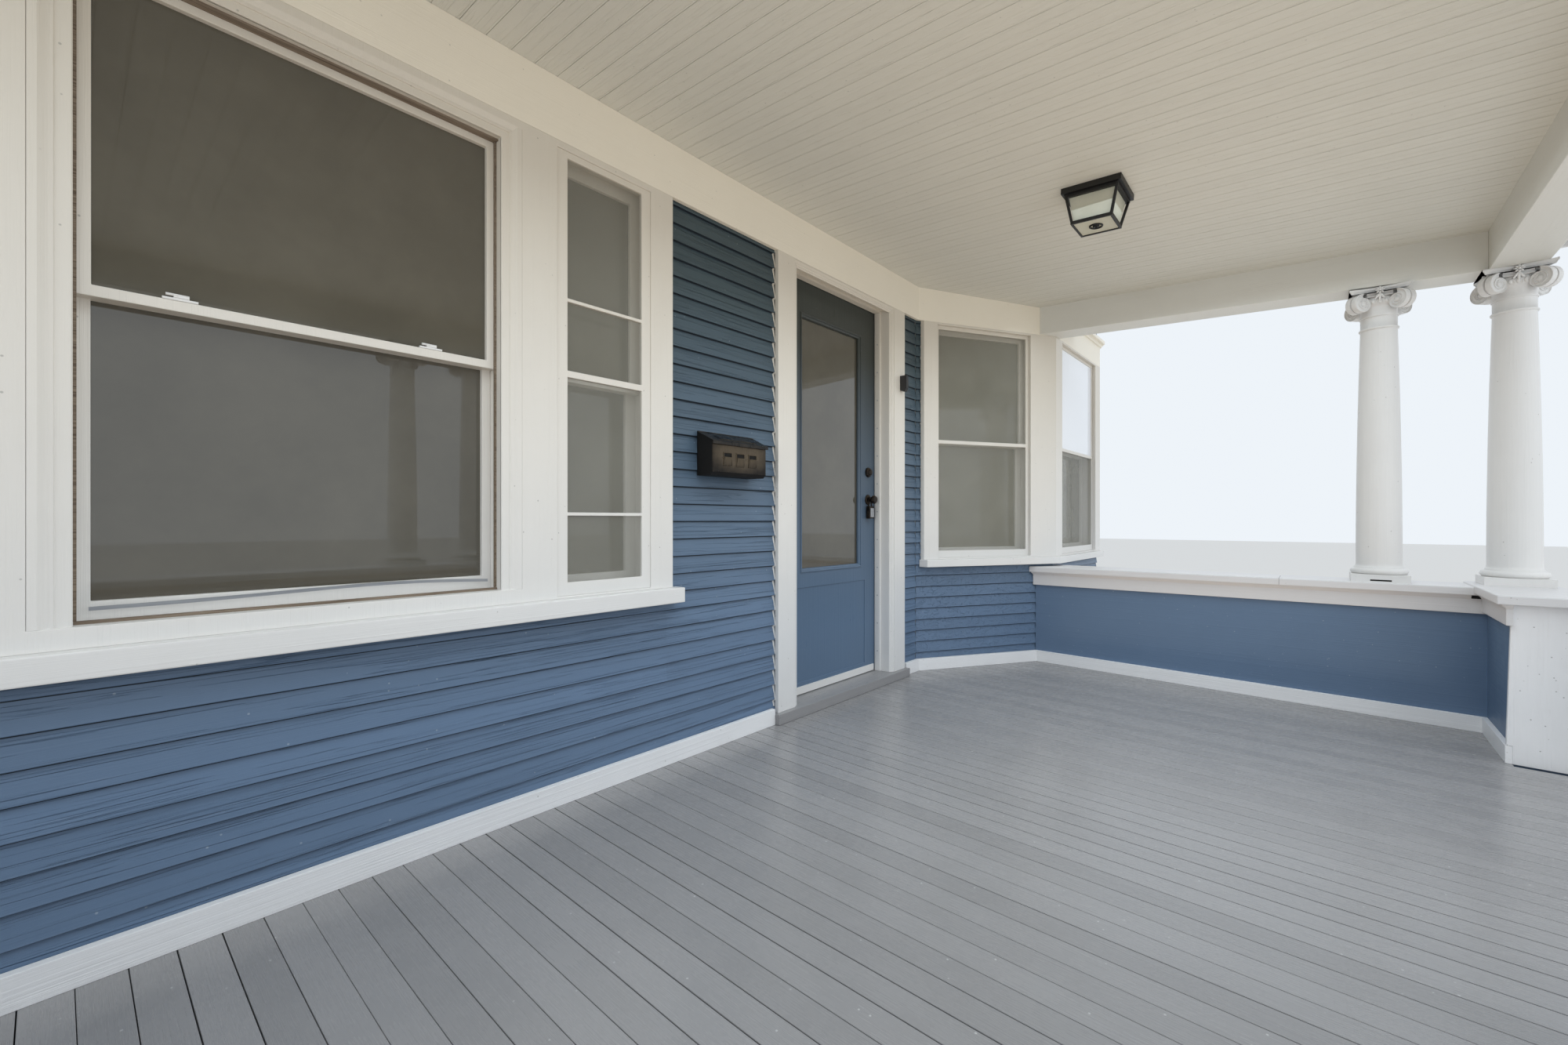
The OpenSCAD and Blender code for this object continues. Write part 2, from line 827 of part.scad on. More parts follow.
// A cap over a block of wall, with its mouldings returned round all four sides
module cap_block(x0, x1, y0, y1, top) {
  difference() {
    intersection() {
      along_y(y0 - cap_over, y1 + cap_over)
        cap_profile(x0, x1, top);
      along_x(x0 - cap_over, x1 + cap_over)
        cap_profile(y0, y1, top);
    }
    box_span(x0, x1, y0, y1, 0, top - cap_t);
  }
}

module knee_wall_caps() {
  color("white")
    difference() {
      union() {
        cap_block(half_len, outer_x, outer_y + cap_over, cap_over, cap_z);
        cap_block(-outer_x, -half_len, outer_y + cap_over, cap_over, cap_z);
        cap_block(step_x1, outer_x, outer_y, -clear_depth, cap_z + front_lift);
        cap_block(-outer_x, step_x0, outer_y, -clear_depth, cap_z + front_lift);
      }
      for (x = [-outer_x, half_len])
        box_span(x, x + knee_t, outer_y, cap_over + 1, 0, knee_high);
      box_span(step_x1, outer_x, outer_y, -clear_depth, 0, knee_high);
      box_span(-outer_x, step_x0, outer_y, -clear_depth, 0, knee_high);
      box_span(-half_len, half_len, outer_y, -clear_depth, 0, knee_high + front_lift);
      bay_prism(0, 0, reach);
    }
}

// Skirting boards along the knee walls, parallel to the floor
module porch_skirting() {
  front = -clear_depth + board_t;
  inner = half_len - board_t;
  color("white")
    difference() {
      intersection() {
        union() {
          box_span(inner, half_len, -clear_depth, 0, 0, reach);
          box_span(-half_len, -inner, -clear_depth, 0, 0, reach);
          box_span(-inner, step_x0, -clear_depth, front, 0, reach);
          box_span(step_x1, inner, -clear_depth, front, 0, reach);
        }
        below_deck(skirting_h);
      }
      below_deck(film);
      bay_prism(board_t, 0, reach);
    }
}

// Tapered boards that close the knee walls' ends beside the steps
module end_boards() {
  top = cap_z + front_lift - cap_t;
  low_band = top - cap_mould - band_h;
  low = deck_at(-clear_depth);
  half = knee_t / 2;
  color("white")
    for (x = [step_x0 - board_t, step_x1])
      difference() {
        along_x(x, x + board_t)
          translate([knee_mid_y, 0])
            polygon([[-half - end_batter, low - 5], [half + end_batter, low - 5], [half + 2, top],
              [-half - 2, top]]);
        below_deck(film);
        box_span(-reach, reach, knee_mid_y - half - board_t - 1, knee_mid_y - half, low_band, reach);
        box_span(-reach, reach, knee_mid_y + half, knee_mid_y + half + board_t + 1, low_band, reach);
        box_span(-reach, reach, -clear_depth, -clear_depth + board_t, 0, low + skirting_h + 1);
      }
}

// Steps
module step_treads() {
  color("gray")
    for (k = [1:risers - 1])
      box_span(step_x0, step_x1, tread_back(k) - tread_d - riser_t - nosing, tread_back(k),
        tread_top(k) - tread_t, tread_top(k));
}

module step_risers() {
  color("gray")
    for (k = [1:risers]) {
      high = k == 1 ? deck_at(outer_y - riser_t) - deck_t : tread_top(k - 1) - tread_t;
      low = k == risers ? 0 : tread_top(k);
      box_span(step_x0, step_x1, tread_back(k) - riser_t, tread_back(k), low, high);
    }
}

module step_stringers() {
  last = risers - 1;
  color("gray")
    for (x = [step_x0, (step_x0 + step_x1 - stringer_t) / 2, step_x1 - stringer_t])
      along_x(x, x + stringer_t)
        polygon(concat(
          [[outer_y, 0]],
          [for (k = [1:last]) each [[tread_back(k), tread_top(k) - tread_t],
            [tread_back(k + 1), tread_top(k) - tread_t]]],
          [[tread_back(risers), 0]]));
}

// Handrail of flat bars: top rail, bottom rail, balusters and two posts
module handrail(x) {
  post = 32;
  bar = 14;
  low_bar = 110;
  y0 = outer_y - riser_t - nosing - 30;
  y1 = tread_back(risers) + tread_d / 2 - 60;
  fall = (tread_top(1) - tread_top(risers - 1)) / ((risers - 2) * tread_d);
  function nose_at(y) = tread_top(1) + (y - tread_back(1) + tread_d / 2) * fall;
  function rail_z(y) = nose_at(y) + rail_h;
  last_k = risers - 1;
  along_x(x - rail_w / 2, x + rail_w / 2)
    polygon([[y0 + 30, rail_z(y0) - 12], [y0, rail_z(y0) - 12], [y1 - 40, rail_z(y1 - 40) - 12],
      [y1 - 40, rail_z(y1 - 40)], [y0, rail_z(y0)], [y0 + 30, rail_z(y0)]]);
  along_x(x - bar / 2, x + bar / 2)
    polygon([[y0, nose_at(y0) + low_bar], [y1, nose_at(y1) + low_bar], [y1, nose_at(y1) + low_bar + bar],
      [y0, nose_at(y0) + low_bar + bar]]);
  for (f = [0:0.125:1]) {
    y = y0 + f * (y1 - y0);
    thick = f == 0 || f == 1 ? post : bar;
    foot = f == 0 ? tread_top(1) : (f == 1 ? tread_top(last_k) : nose_at(y) + low_bar + bar / 2);
    box_span(x - thick / 2, x + thick / 2, y - thick / 2, y + thick / 2, foot, nose_at(y) + rail_h - 6);
  }
}

module handrails() {
  inset = cap_over + rail_w / 2 + 8;
  color("black")
    for (x = [step_x0 + inset, step_x1 - inset])
      handrail(x);
}

// Column shaft with its swelling, base mouldings and neck ring
function shaft_r(f) = shaft_d / 2 - (shaft_d - neck_d) / 2 * pow(f, 1.8);

module column(p) {
  foot = column_foot(p);
  shaft_h = column_head(p) - capital_h - foot - plinth_h;
  ring_z = shaft_h - 63;
  base_h = 58;
  r = shaft_d / 2;
  translate([p[0], p[1], foot]) {
    translate([-plinth_w / 2, -plinth_w / 2, 0])
      cube([plinth_w, plinth_w, plinth_h]);
    translate([0, 0, plinth_h])
      rotate_extrude()
        polygon(concat(
          [[0, 0], [r + 18, 0]],
          [for (a = [-75:25:75]) [r + 10 + 14 * cos(a), 16 + 16 * sin(a)]],
          [[r + 8, 34], [r + 8, 40]],
          [for (a = [0:22.5:90]) [r + 8 - 8 * sin(a), 58 - 18 * cos(a)]],
          [for (i = [1:12]) [shaft_r(i / 12), base_h + (ring_z - 8 - base_h) * i / 12]],
          [for (a = [-90:30:90]) [neck_d / 2 + 7 * cos(a), ring_z + 7 * sin(a)]],
          [[neck_d / 2, ring_z + 7], [neck_d / 2, shaft_h], [0, shaft_h]]));
  }
}

module columns() {
  color("white")
    for (p = column_spots)
      column(p);
}

// Scroll of a capital's corner: a band that winds in to its eye
module scroll_band(r0, width) {
  steps = [0:45:360 * scroll_turns];
  polygon(concat(
    [for (a = steps) scroll_at(a, r0) * [cos(90 - a), sin(90 - a)]],
    [for (i = [len([for (a = steps) a]) - 1:-1:0]) let (a = i * 45)
      (scroll_at(a, r0) - width * pow(0.35, a / (360 * scroll_turns))) * [cos(90 - a), sin(90 - a)]]));
}

module corner_scroll() {
  rotate([90, 0, 0]) {
    cylinder(r = scroll_r - 9, h = 30, center = true);
    linear_extrude(42, center = true)
      scroll_band(scroll_r, 10);
    cylinder(r = 11, h = 46, center = true);
  }
}

module capital(p) {
  abacus_h = capital_h * 0.16;
  egg_z = capital_h * 0.58;
  egg_r = capital_h * 0.11;
  z0 = column_head(p) - capital_h;
  r = neck_d / 2;
  translate([p[0], p[1], z0]) {
    difference() {
      translate([-abacus_w / 2 - 14, -abacus_w / 2 - 14, capital_h - abacus_h])
        cube([abacus_w + 28, abacus_w + 28, abacus_h]);
      for (k = [0:3])
        rotate([0, 0, 90 * k])
          translate([abacus_w * 1.5, 0, capital_h - abacus_h - 1])
            cylinder(r = abacus_w + 22, h = abacus_h + 2, $fn = 96);
    }
    rotate_extrude()
      polygon(concat(
        [[0, 0], [r + 5, 0], [r + 5, egg_r / 2], [r, egg_r], [r, egg_z - egg_r]],
        [for (a = [-90:22.5:60]) [r + 4 + egg_r * cos(a), egg_z + egg_r * sin(a)]],
        [[r + 6, egg_z + egg_r + 4], [r + 6, capital_h - abacus_h], [0, capital_h - abacus_h]]));
    for (k = [0:3])
      rotate([0, 0, 45 + 90 * k])
        translate([r + 34, 0, capital_h - abacus_h - scroll_r - 6])
          corner_scroll();
  }
}

module column_capitals() {
  color("white")
    for (p = column_spots)
      capital(p);
}

// Boxed beams
module front_beam() {
  y = knee_mid_y;
  color("white")
    box_span(-knee_mid_x - beam_w / 2, knee_mid_x + beam_w / 2, y - beam_w / 2, y + beam_w / 2,
      front_beam_low, beam_top);
}

module end_beam(side) {
  y = knee_mid_y + beam_w / 2;
  color("white")
    difference() {
      along_x(side * knee_mid_x - beam_w / 2, side * knee_mid_x + beam_w / 2)
        polygon([[0, beam_at(0)], [0, beam_top], [y, beam_top], [y, beam_at(y)]]);
      bay_prism(board_t, 0, reach);
    }
}

module end_beams() {
  end_beam(1);
  end_beam(-1);
}

module porch_ceiling() {
  x = knee_mid_x - beam_w / 2;
  y = knee_mid_y + beam_w / 2;
  color("gainsboro")
    difference() {
      along_x(-x, x)
        polygon([[0, ceiling_at(0)], [0, ceiling_at(0) + ceiling_t],
          [y, ceiling_at(y) + ceiling_t], [y, ceiling_at(y)]]);
      bay_prism(0, 0, reach);
    }
}

// Ceiling light: a tapered lantern of bars under a plate
module light_frame() {
  top = light_w / 2 - 12;
  low = light_w / 2 - 37;
  bar = 10;
  color("black")
    translate([light_x, light_y, ceiling_at(light_y) - film])
      rotate([atan2(ceiling_fall, clear_depth), 0, 0]) {
        translate([-light_w / 2, -light_w / 2, -26])
          cube([light_w, light_w, 26]);
        for (k = [0:3])
          rotate([0, 0, 90 * k])
            hull() {
              translate([top - bar, top - bar, -30])
                cube([bar, bar, 5]);
              translate([low - bar, low - bar, -light_drop])
                cube([bar, bar, 5]);
            }
        translate([0, 0, -light_drop - 8])
          difference() {
            translate([-low, -low, 0])
              cube([2 * low, 2 * low, 14]);
            translate([-low + bar, -low + bar, -1])
              cube([2 * (low - bar), 2 * (low - bar), 16]);
          }
      }
}

module light_glass() {
  top = light_w / 2 - 18;
  low = light_w / 2 - 41;
  color("whitesmoke")
    translate([light_x, light_y, ceiling_at(light_y) - film])
      rotate([atan2(ceiling_fall, clear_depth), 0, 0])
        translate([0, 0, -light_drop + 6.5])
          linear_extrude(light_drop - 33, scale = top / low)
            square(2 * low - 14, center = true);
}

// Hipped roof against the house wall
module roof_body(lift) {
  peak = roof_edge + lift + roof_rise;
  flat = eave_x - roof_rise / tan(roof_pitch);
  intersection() {
    along_x(-eave_x, eave_x)
      polygon([[eave_y, roof_edge + lift], [0, peak], [0, 0], [eave_y, 0]]);
    along_y(eave_y, 0)
      polygon([[-eave_x, 0], [-eave_x, roof_edge + lift], [-flat, peak], [flat, peak],
        [eave_x, roof_edge + lift], [eave_x, 0]]);
  }
}

module porch_roof() {
  color("dimgray")
    difference() {
      roof_body(roof_t / cos(roof_pitch));
      difference() {
        roof_body(0);
        bay_prism(0, -1, 1);
      }
      box_span(-reach, reach, -reach, reach, -1, roof_edge);
      bay_prism(0, 0, reach);
      bay_prism(board_t, 0, deck_z + ceiling_h);
    }
}

// Fascia and soffit boards of the eaves
module eaves_boards() {
  color("white")
    difference() {
      union() {
        difference() {
          box_span(-eave_x, eave_x, eave_y, 0, roof_edge - fascia_h, roof_edge);
          box_span(-eave_x + board_t, eave_x - board_t, eave_y + board_t, 1, 0, reach);
        }
        difference() {
          box_span(-eave_x + 1, eave_x - 1, eave_y + 1, 0, soffit_z, soffit_z + ceiling_t);
          box_span(-knee_mid_x - beam_w / 2, knee_mid_x + beam_w / 2, knee_mid_y - beam_w / 2, 1, 0, reach);
        }
      }
      bay_prism(board_t, 0, reach);
    }
}

house_foundation();
house_wall_left();
house_wall_right();
house_wall_at_door();
bay_wall_near();
bay_wall_front();
bay_wall_far();
wall_frieze();
wall_skirting();
front_window_frame();
bay_window_frames();
window_sills();
window_sashes();
window_glass();
door_frame();
door_sill();
front_door();
door_glass();
door_sweep();
door_hardware();
key_box();
letter_box();
letter_box_lid();
door_bell();
porch_foundation();
floor_deck();
knee_wall_right();
knee_wall_left();
front_knee_walls();
knee_wall_caps();
porch_skirting();
end_boards();
step_treads();
step_risers();
step_stringers();
handrails();
columns();
column_capitals();
front_beam();
end_beams();
porch_ceiling();
light_frame();
light_glass();
porch_roof();
eaves_boards();
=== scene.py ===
# Front porch of an old timber house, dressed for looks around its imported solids.
# Metres. The house wall's face is y = 0, the street lies at -y and the ground is z = 0.
import math
import random

import bmesh
import bpy
from mathutils import Matrix, Vector


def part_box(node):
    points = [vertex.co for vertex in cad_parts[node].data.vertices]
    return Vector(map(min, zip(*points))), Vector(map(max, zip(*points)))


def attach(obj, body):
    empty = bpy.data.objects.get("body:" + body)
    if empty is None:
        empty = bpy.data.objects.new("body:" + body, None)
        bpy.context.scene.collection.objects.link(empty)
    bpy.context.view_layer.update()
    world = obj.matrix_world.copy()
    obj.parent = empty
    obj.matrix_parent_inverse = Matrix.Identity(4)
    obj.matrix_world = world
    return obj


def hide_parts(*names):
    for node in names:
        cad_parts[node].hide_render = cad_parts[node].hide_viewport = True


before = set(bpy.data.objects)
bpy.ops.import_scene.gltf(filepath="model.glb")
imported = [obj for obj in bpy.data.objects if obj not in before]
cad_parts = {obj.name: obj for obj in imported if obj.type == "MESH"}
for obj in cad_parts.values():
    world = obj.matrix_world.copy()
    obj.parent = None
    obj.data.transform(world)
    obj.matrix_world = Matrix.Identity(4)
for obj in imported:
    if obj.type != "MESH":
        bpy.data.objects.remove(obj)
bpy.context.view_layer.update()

scene = bpy.context.scene
scene.view_settings.view_transform = "Standard"

# The camera: a very wide lens held level inside the porch, near its left front corner.
# It looks along the floor towards the door and the far end.
photo_wide, photo_high = 2000, 1333
focal_pixels = 797.0
horizon_row = 663.3
heading = math.radians(40.55)
lens = bpy.data.cameras.new("porch_camera")
lens.sensor_width = 36.0
lens.lens = 36.0 * focal_pixels / photo_wide
lens.shift_y = (horizon_row - photo_high / 2) / photo_wide
lens.clip_start = 0.02
camera = bpy.data.objects.new("porch_camera", lens)
camera.location = (-1.59, -2.072, 1.677)
camera.rotation_euler = (math.pi / 2, 0, heading - math.pi / 2)
scene.collection.objects.link(camera)
scene.camera = camera


# The studio: a plain pale floor under a plain pale sky, with three large soft lamps before
# the open front and ends of the porch, and two flat ones that fill it from inside.
def add_node(tree, kind, feeds=None, **settings):
    made = tree.nodes.new(kind)
    for name, value in settings.items():
        setattr(made, name, value)
    for socket, feed in (feeds or {}).items():
        if isinstance(feed, bpy.types.NodeSocket):
            tree.links.new(feed, made.inputs[socket])
        else:
            made.inputs[socket].default_value = feed
    return made


def new_material(name):
    material = bpy.data.materials.new(name)
    material.use_nodes = True
    material.node_tree.nodes.clear()
    return material, material.node_tree


pale_ground, tree = new_material("pale_ground")
shade = add_node(tree, "ShaderNodeBsdfPrincipled",
                 {"Base Color": (0.78, 0.765, 0.74, 1), "Roughness": 0.95})
add_node(tree, "ShaderNodeOutputMaterial", {"Surface": shade.outputs[0]})
ground_mesh = bpy.data.meshes.new("studio_floor")
ground_mesh.from_pydata([(-60, -60, 0), (60, -60, 0), (60, 60, 0), (-60, 60, 0)], [],
                        [(0, 1, 2, 3)])
ground_mesh.materials.append(pale_ground)
studio_floor = bpy.data.objects.new("studio_floor", ground_mesh)
scene.collection.objects.link(studio_floor)

sky = bpy.data.worlds.new("pale_sky")
scene.world = sky
sky.use_nodes = True
sky.node_tree.nodes["Background"].inputs["Color"].default_value = (0.90, 0.95, 1.0, 1)
sky.node_tree.nodes["Background"].inputs["Strength"].default_value = 0.95


def soft_lamp(name, spot, aim, wide, high, watts, colour, spread=180):
    lamp = bpy.data.lights.new(name, "AREA")
    lamp.shape = "RECTANGLE"
    lamp.size = wide
    lamp.size_y = high
    lamp.energy = watts
    lamp.color = colour
    lamp.spread = math.radians(spread)
    stand = bpy.data.objects.new(name, lamp)
    stand.location = spot
    stand.rotation_euler = (Vector(aim) - Vector(spot)).to_track_quat("-Z", "Y").to_euler()
    stand.visible_glossy = False
    stand.visible_camera = False
    scene.collection.objects.link(stand)


soft_lamp("front_lamp", (0.0, -6.5, 2.6), (0.0, 0.0, 1.4), 8.0, 3.0, 62, (0.93, 0.97, 1.0))
soft_lamp("right_lamp", (8.5, -2.2, 2.6), (1.0, -1.2, 1.4), 4.0, 3.0, 66, (0.93, 0.97, 1.0))
soft_lamp("left_lamp", (-8.5, -2.6, 2.4), (2.0, -1.6, 1.2), 4.0, 3.0, 150, (0.93, 0.97, 1.0))
soft_lamp("floor_lamp", (0.3, -1.6, 0.76), (0.3, -1.6, 3.0), 5.4, 1.9, 23, (1.0, 0.78, 0.54), 130)
soft_lamp("ceiling_lamp", (0.4, -1.5, 3.10), (0.4, -1.5, 0.7), 5.0, 2.0, 52, (0.80, 0.91, 1.0), 150)


# House foundation and porch foundation: rough grey blocks laid in courses in lime mortar.
# They lie below the photograph, so they are plain masonry of the usual block size.
def mix_colour(tree, factor, first, second):
    return add_node(tree, "ShaderNodeMix", {0: factor, 6: first, 7: second}, data_type="RGBA").outputs[2]


def fade(tree, value, low, high, bottom=0.0, top=1.0):
    span = add_node(tree, "ShaderNodeMapRange", {"Value": value, "From Min": low, "From Max": high,
                                                 "To Min": bottom, "To Max": top})
    return span.outputs[0]


def centred(tree, value):
    return fade(tree, value, 0.3, 0.7, -0.5, 0.5)


def product(tree, first, second):
    return add_node(tree, "ShaderNodeMath", {0: first, 1: second}, operation="MULTIPLY").outputs[0]


def sum_of(tree, first, second, factor=1.0):
    return add_node(tree, "ShaderNodeMath", {0: second, 1: factor, 2: first},
                    operation="MULTIPLY_ADD").outputs[0]


def speckle(tree, place, scale, detail=3.0, rough=0.55):
    return add_node(tree, "ShaderNodeTexNoise", {"Vector": place, "Scale": scale, "Detail": detail,
                                                 "Roughness": rough}).outputs[0]


def stretched(tree, place, stretch):
    return add_node(tree, "ShaderNodeVectorMath", {0: place, 1: stretch}, operation="MULTIPLY").outputs[0]


def place_of(tree):
    return add_node(tree, "ShaderNodeTexCoord").outputs["Object"]


def close_material(tree, colour, roughness, height=None, relief=None, **sockets):
    feeds = {"Base Color": colour, "Roughness": roughness}
    for name, value in sockets.items():
        feeds[name.replace("_", " ")] = value
    if height is not None:
        feeds["Normal"] = add_node(tree, "ShaderNodeBump", {"Distance": relief, "Height": height}).outputs[0]
    shade = add_node(tree, "ShaderNodeBsdfPrincipled", feeds)
    add_node(tree, "ShaderNodeOutputMaterial", {"Surface": shade.outputs[0]})


def cloudy_material(name, noise, colours, gloss, relief=None, stretch=(1, 1, 1), span=None, **sockets):
    material, tree = new_material(name)
    cloud = speckle(tree, stretched(tree, place_of(tree), stretch), *noise)
    colour = colours[0] + (1,)
    if len(colours) == 2:
        colour = mix_colour(tree, fade(tree, cloud, *span) if span else cloud, colour, colours[1] + (1,))
    roughness = fade(tree, cloud, *gloss) if isinstance(gloss, tuple) else gloss
    close_material(tree, colour, roughness, cloud if relief else None, relief, **sockets)
    return material


block_stone, tree = new_material("block_stone")
place = place_of(tree)
grit = speckle(tree, place, 60.0, 6.0, 0.7)
stain = speckle(tree, place, 2.3, 4.0)
stone = mix_colour(tree, fade(tree, stain, 0.35, 0.65), (0.27, 0.26, 0.245, 1), (0.40, 0.385, 0.36, 1))
stone = mix_colour(tree, fade(tree, grit, 0.3, 0.7, 0.0, 0.5), stone, (0.20, 0.19, 0.18, 1))
rough_face = sum_of(tree, grit, speckle(tree, place, 14.0, 5.0, 0.6), 2.0)
close_material(tree, stone, 0.92, rough_face, 0.006)

lime_mortar = cloudy_material("lime_mortar", (90.0, 4.0), [(0.42, 0.40, 0.37), (0.56, 0.54, 0.50)], 0.95,
                              0.002)


def bridge(shape, rings, closed=True, caps=True):
    faces = [shape.faces.new(rings[0]), shape.faces.new(rings[-1])] if caps else []
    count = len(rings[0])
    for first, second in zip(rings, rings[1:]):
        for i in range(count if closed else count - 1):
            j = (i + 1) % count
            faces.append(shape.faces.new((first[i], first[j], second[j], second[i])))
    return faces


def add_prism(shape, outline, axis, start, stop, cuts=0, material=0, place=None):
    rings = []
    for step in range(cuts + 2):
        t = start + (stop - start) * step / (cuts + 1)
        ring = []
        for a, b in outline:
            spot = Vector({"x": (t, a, b), "y": (a, t, b), "z": (a, b, t)}[axis])
            ring.append(shape.verts.new(place @ spot if place else spot))
        rings.append(ring)
    for face in bridge(shape, rings):
        face.material_index = material


def add_box(shape, x0, x1, y0, y1, z0, z1, material=0, place=None, ease=0.0):
    e = ease
    outline = [(y0, z0), (y1, z0), (y1, z1), (y0, z1)]
    if e:
        outline = [(y0 + e, z0), (y1 - e, z0), (y1, z0 + e), (y1, z1 - e),
                   (y1 - e, z1), (y0 + e, z1), (y0, z1 - e), (y0, z0 + e)]
    add_prism(shape, outline, "x", x0, x1, 0, material, place)


def make_piece(name, shape, materials, slot, stands_for=(), body="porch", smooth_angle=None):
    bmesh.ops.recalc_face_normals(shape, faces=shape.faces[:])
    mesh = bpy.data.meshes.new(name)
    shape.to_mesh(mesh)
    shape.free()
    for material in materials:
        mesh.materials.append(material)
    if smooth_angle:
        for polygon in mesh.polygons:
            polygon.use_smooth = True
        mesh.set_sharp_from_angle(angle=math.radians(smooth_angle))
    piece = bpy.data.objects.new(name, mesh)
    scene.collection.objects.link(piece)
    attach(piece, body)
    if stands_for:
        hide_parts(*stands_for)


def round_edges(shape, ease):
    sharp = [e for e in shape.edges if len(e.link_faces) == 2 and e.calc_face_angle(0) > 0.5]
    bmesh.ops.bevel(shape, geom=sharp, offset=ease, segments=2, profile=0.6, affect="EDGES",
                    clamp_overlap=False)


def cad_copy(node, ease=0.0):
    shape = bmesh.new()
    shape.from_mesh(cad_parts[node].data)
    bmesh.ops.remove_doubles(shape, verts=shape.verts[:], dist=1e-5)
    bmesh.ops.dissolve_limit(shape, angle_limit=0.005, verts=shape.verts[:], edges=shape.edges[:])
    for layer in list(shape.loops.layers.uv):
        shape.loops.layers.uv.remove(layer)
    if ease:
        round_edges(shape, ease)
    for face in shape.faces:
        face.material_index = 0
    return shape


def cad_piece(name, node, ease, material, slot="trim_white", **more):
    make_piece(name, cad_copy(node, ease), [material], slot, [node], **more)


def dress(node, material):
    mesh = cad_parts[node].data
    mesh.materials.clear()
    mesh.materials.append(material)


def block_course(shape, x0, x1, z0, z1, place, rng):
    x = x0
    while x < x1 - 0.02:
        wide = min(rng.uniform(0.34, 0.46), x1 - x)
        if x1 - x - wide < 0.12:
            wide = x1 - x
        proud = rng.uniform(-0.003, 0.003)
        outline = [(0.0, z0 + 0.005), (0.0, z1 - 0.005), (-0.010 + proud, z1 - 0.014),
                   (-0.014 + proud, (z0 + z1) / 2), (-0.010 + proud, z0 + 0.014)]
        add_prism(shape, outline, "x", x + 0.005, x + wide - 0.005, place=place)
        x += wide


front_low, front_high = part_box("bay_wall_front")
bay_plan = [(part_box("bay_wall_near")[0].x, 0.0), (front_low.x, front_low.y), (front_high.x, front_low.y),
            (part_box("bay_wall_far")[1].x, 0.0)]
foundation_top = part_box("house_foundation")[1].z
house_out, block_proud = 0.045, 0.014


def clamp(value, low, high):
    return min(max(value, low), high)


def on_line(start, end):
    run = Vector((end[0] - start[0], end[1] - start[1], 0))
    turn = math.atan2(run.y, run.x)
    return Matrix.Translation((start[0], start[1], 0)) @ Matrix.Rotation(turn, 4, "Z"), run.length


def block_wall(shape, start, end, rng):
    place, length = on_line(start, end)
    rows = 3
    high = foundation_top / rows
    for row in range(rows):
        block_course(shape, 0.0, length, row * high, (row + 1) * high, place, rng)


def inset_faces(shape, depth):
    moved = {}
    for face in shape.faces:
        if abs(face.normal.z) > 0.5:
            continue
        for vertex in face.verts:
            moved.setdefault(vertex, []).append(face.normal.copy())
    for vertex, normals in moved.items():
        seen = []
        for normal in normals:
            if all(normal.dot(other) < 0.99 for other in seen):
                seen.append(normal)
        if len(seen) == 2:
            seen = [(seen[0] + seen[1]) / max(0.2, 1 + seen[0].dot(seen[1]))]
        vertex.co -= seen[0] * depth


def masonry(name, node, lines, seed):
    rng = random.Random(seed)
    shape = cad_copy(node)
    shape.normal_update()
    inset_faces(shape, block_proud)
    for face in shape.faces:
        face.material_index = 1
    for start, end in lines:
        block_wall(shape, start, end, rng)
    for vertex in shape.verts:
        vertex.co.z = clamp(vertex.co.z, 0.0, foundation_top)
    make_piece(name, shape, [block_stone, lime_mortar], "foundation_stone", [node])


def grown_plan(out):
    near, left, right, far = bay_plan
    slide = out * math.tan(math.atan2(-left[1], left[0] - near[0]) / 2)
    return [(near[0] - slide, -out), (left[0] - slide, left[1] - out),
            (right[0] + slide, right[1] - out), (far[0] + slide, -out)]


edge = grown_plan(house_out - block_proud)
left_end, right_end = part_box("house_foundation")[0].x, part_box("house_foundation")[1].x
corners = [(left_end, edge[0][1]), *edge, (right_end, edge[3][1])]
masonry("house_foundation_blocks", "house_foundation", list(zip(corners, corners[1:])), 3)
low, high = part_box("porch_foundation")
x0, x1, y0 = low.x + block_proud, high.x - block_proud, low.y + block_proud
left_stop, right_stop = -0.05, -0.55
masonry("porch_foundation_blocks", "porch_foundation",
        [((x0, y0), (x1, y0)), ((x1, y0), (x1, right_stop)), ((x0, left_stop), (x0, y0))], 5)


# Clapboard walls: old cedar clapboards nailed over each other with 74 mm showing, under many coats
# of blue-grey satin paint that has covered earlier flaking. Each wall's core is let in behind them.
painted = bpy.data.node_groups.new("old_paint", "ShaderNodeTree")
for label, kind in (("Colour", "Color"), ("Dirt", "Color"), ("Stretch", "Vector"), ("Brush", "Float"),
                    ("Flakes", "Float"), ("Specks", "Float"), ("Mottle", "Float"), ("Sheen", "Float"),
                    ("Tone", "Float")):
    painted.interface.new_socket(name=label, in_out="INPUT", socket_type="NodeSocket" + kind)
for label, kind in (("Colour", "Color"), ("Roughness", "Float"), ("Height", "Float")):
    painted.interface.new_socket(name=label, in_out="OUTPUT", socket_type="NodeSocket" + kind)
given = painted.nodes.new("NodeGroupInput").outputs
place = place_of(painted)
along = stretched(painted, place, given["Stretch"])
brush = speckle(painted, along, 1.0, 4.0, 0.6)
broad = speckle(painted, place, 1.1, 3.0)
cloud = speckle(painted, place, 9.0, 4.0, 0.6)
flake_place = stretched(painted, along, (0.22, 0.22, 0.22))
flakes = fade(painted, speckle(painted, flake_place, 1.0, 2.5, 0.45), 0.56, 0.585)
small_flakes = fade(painted, speckle(painted, flake_place, 2.3, 2.0, 0.5), 0.60, 0.62)
grit_dots = add_node(painted, "ShaderNodeTexVoronoi", {"Vector": place, "Scale": 38.0}).outputs
dot_pick = add_node(painted, "ShaderNodeSeparateColor", {"Color": grit_dots["Color"]}).outputs[0]
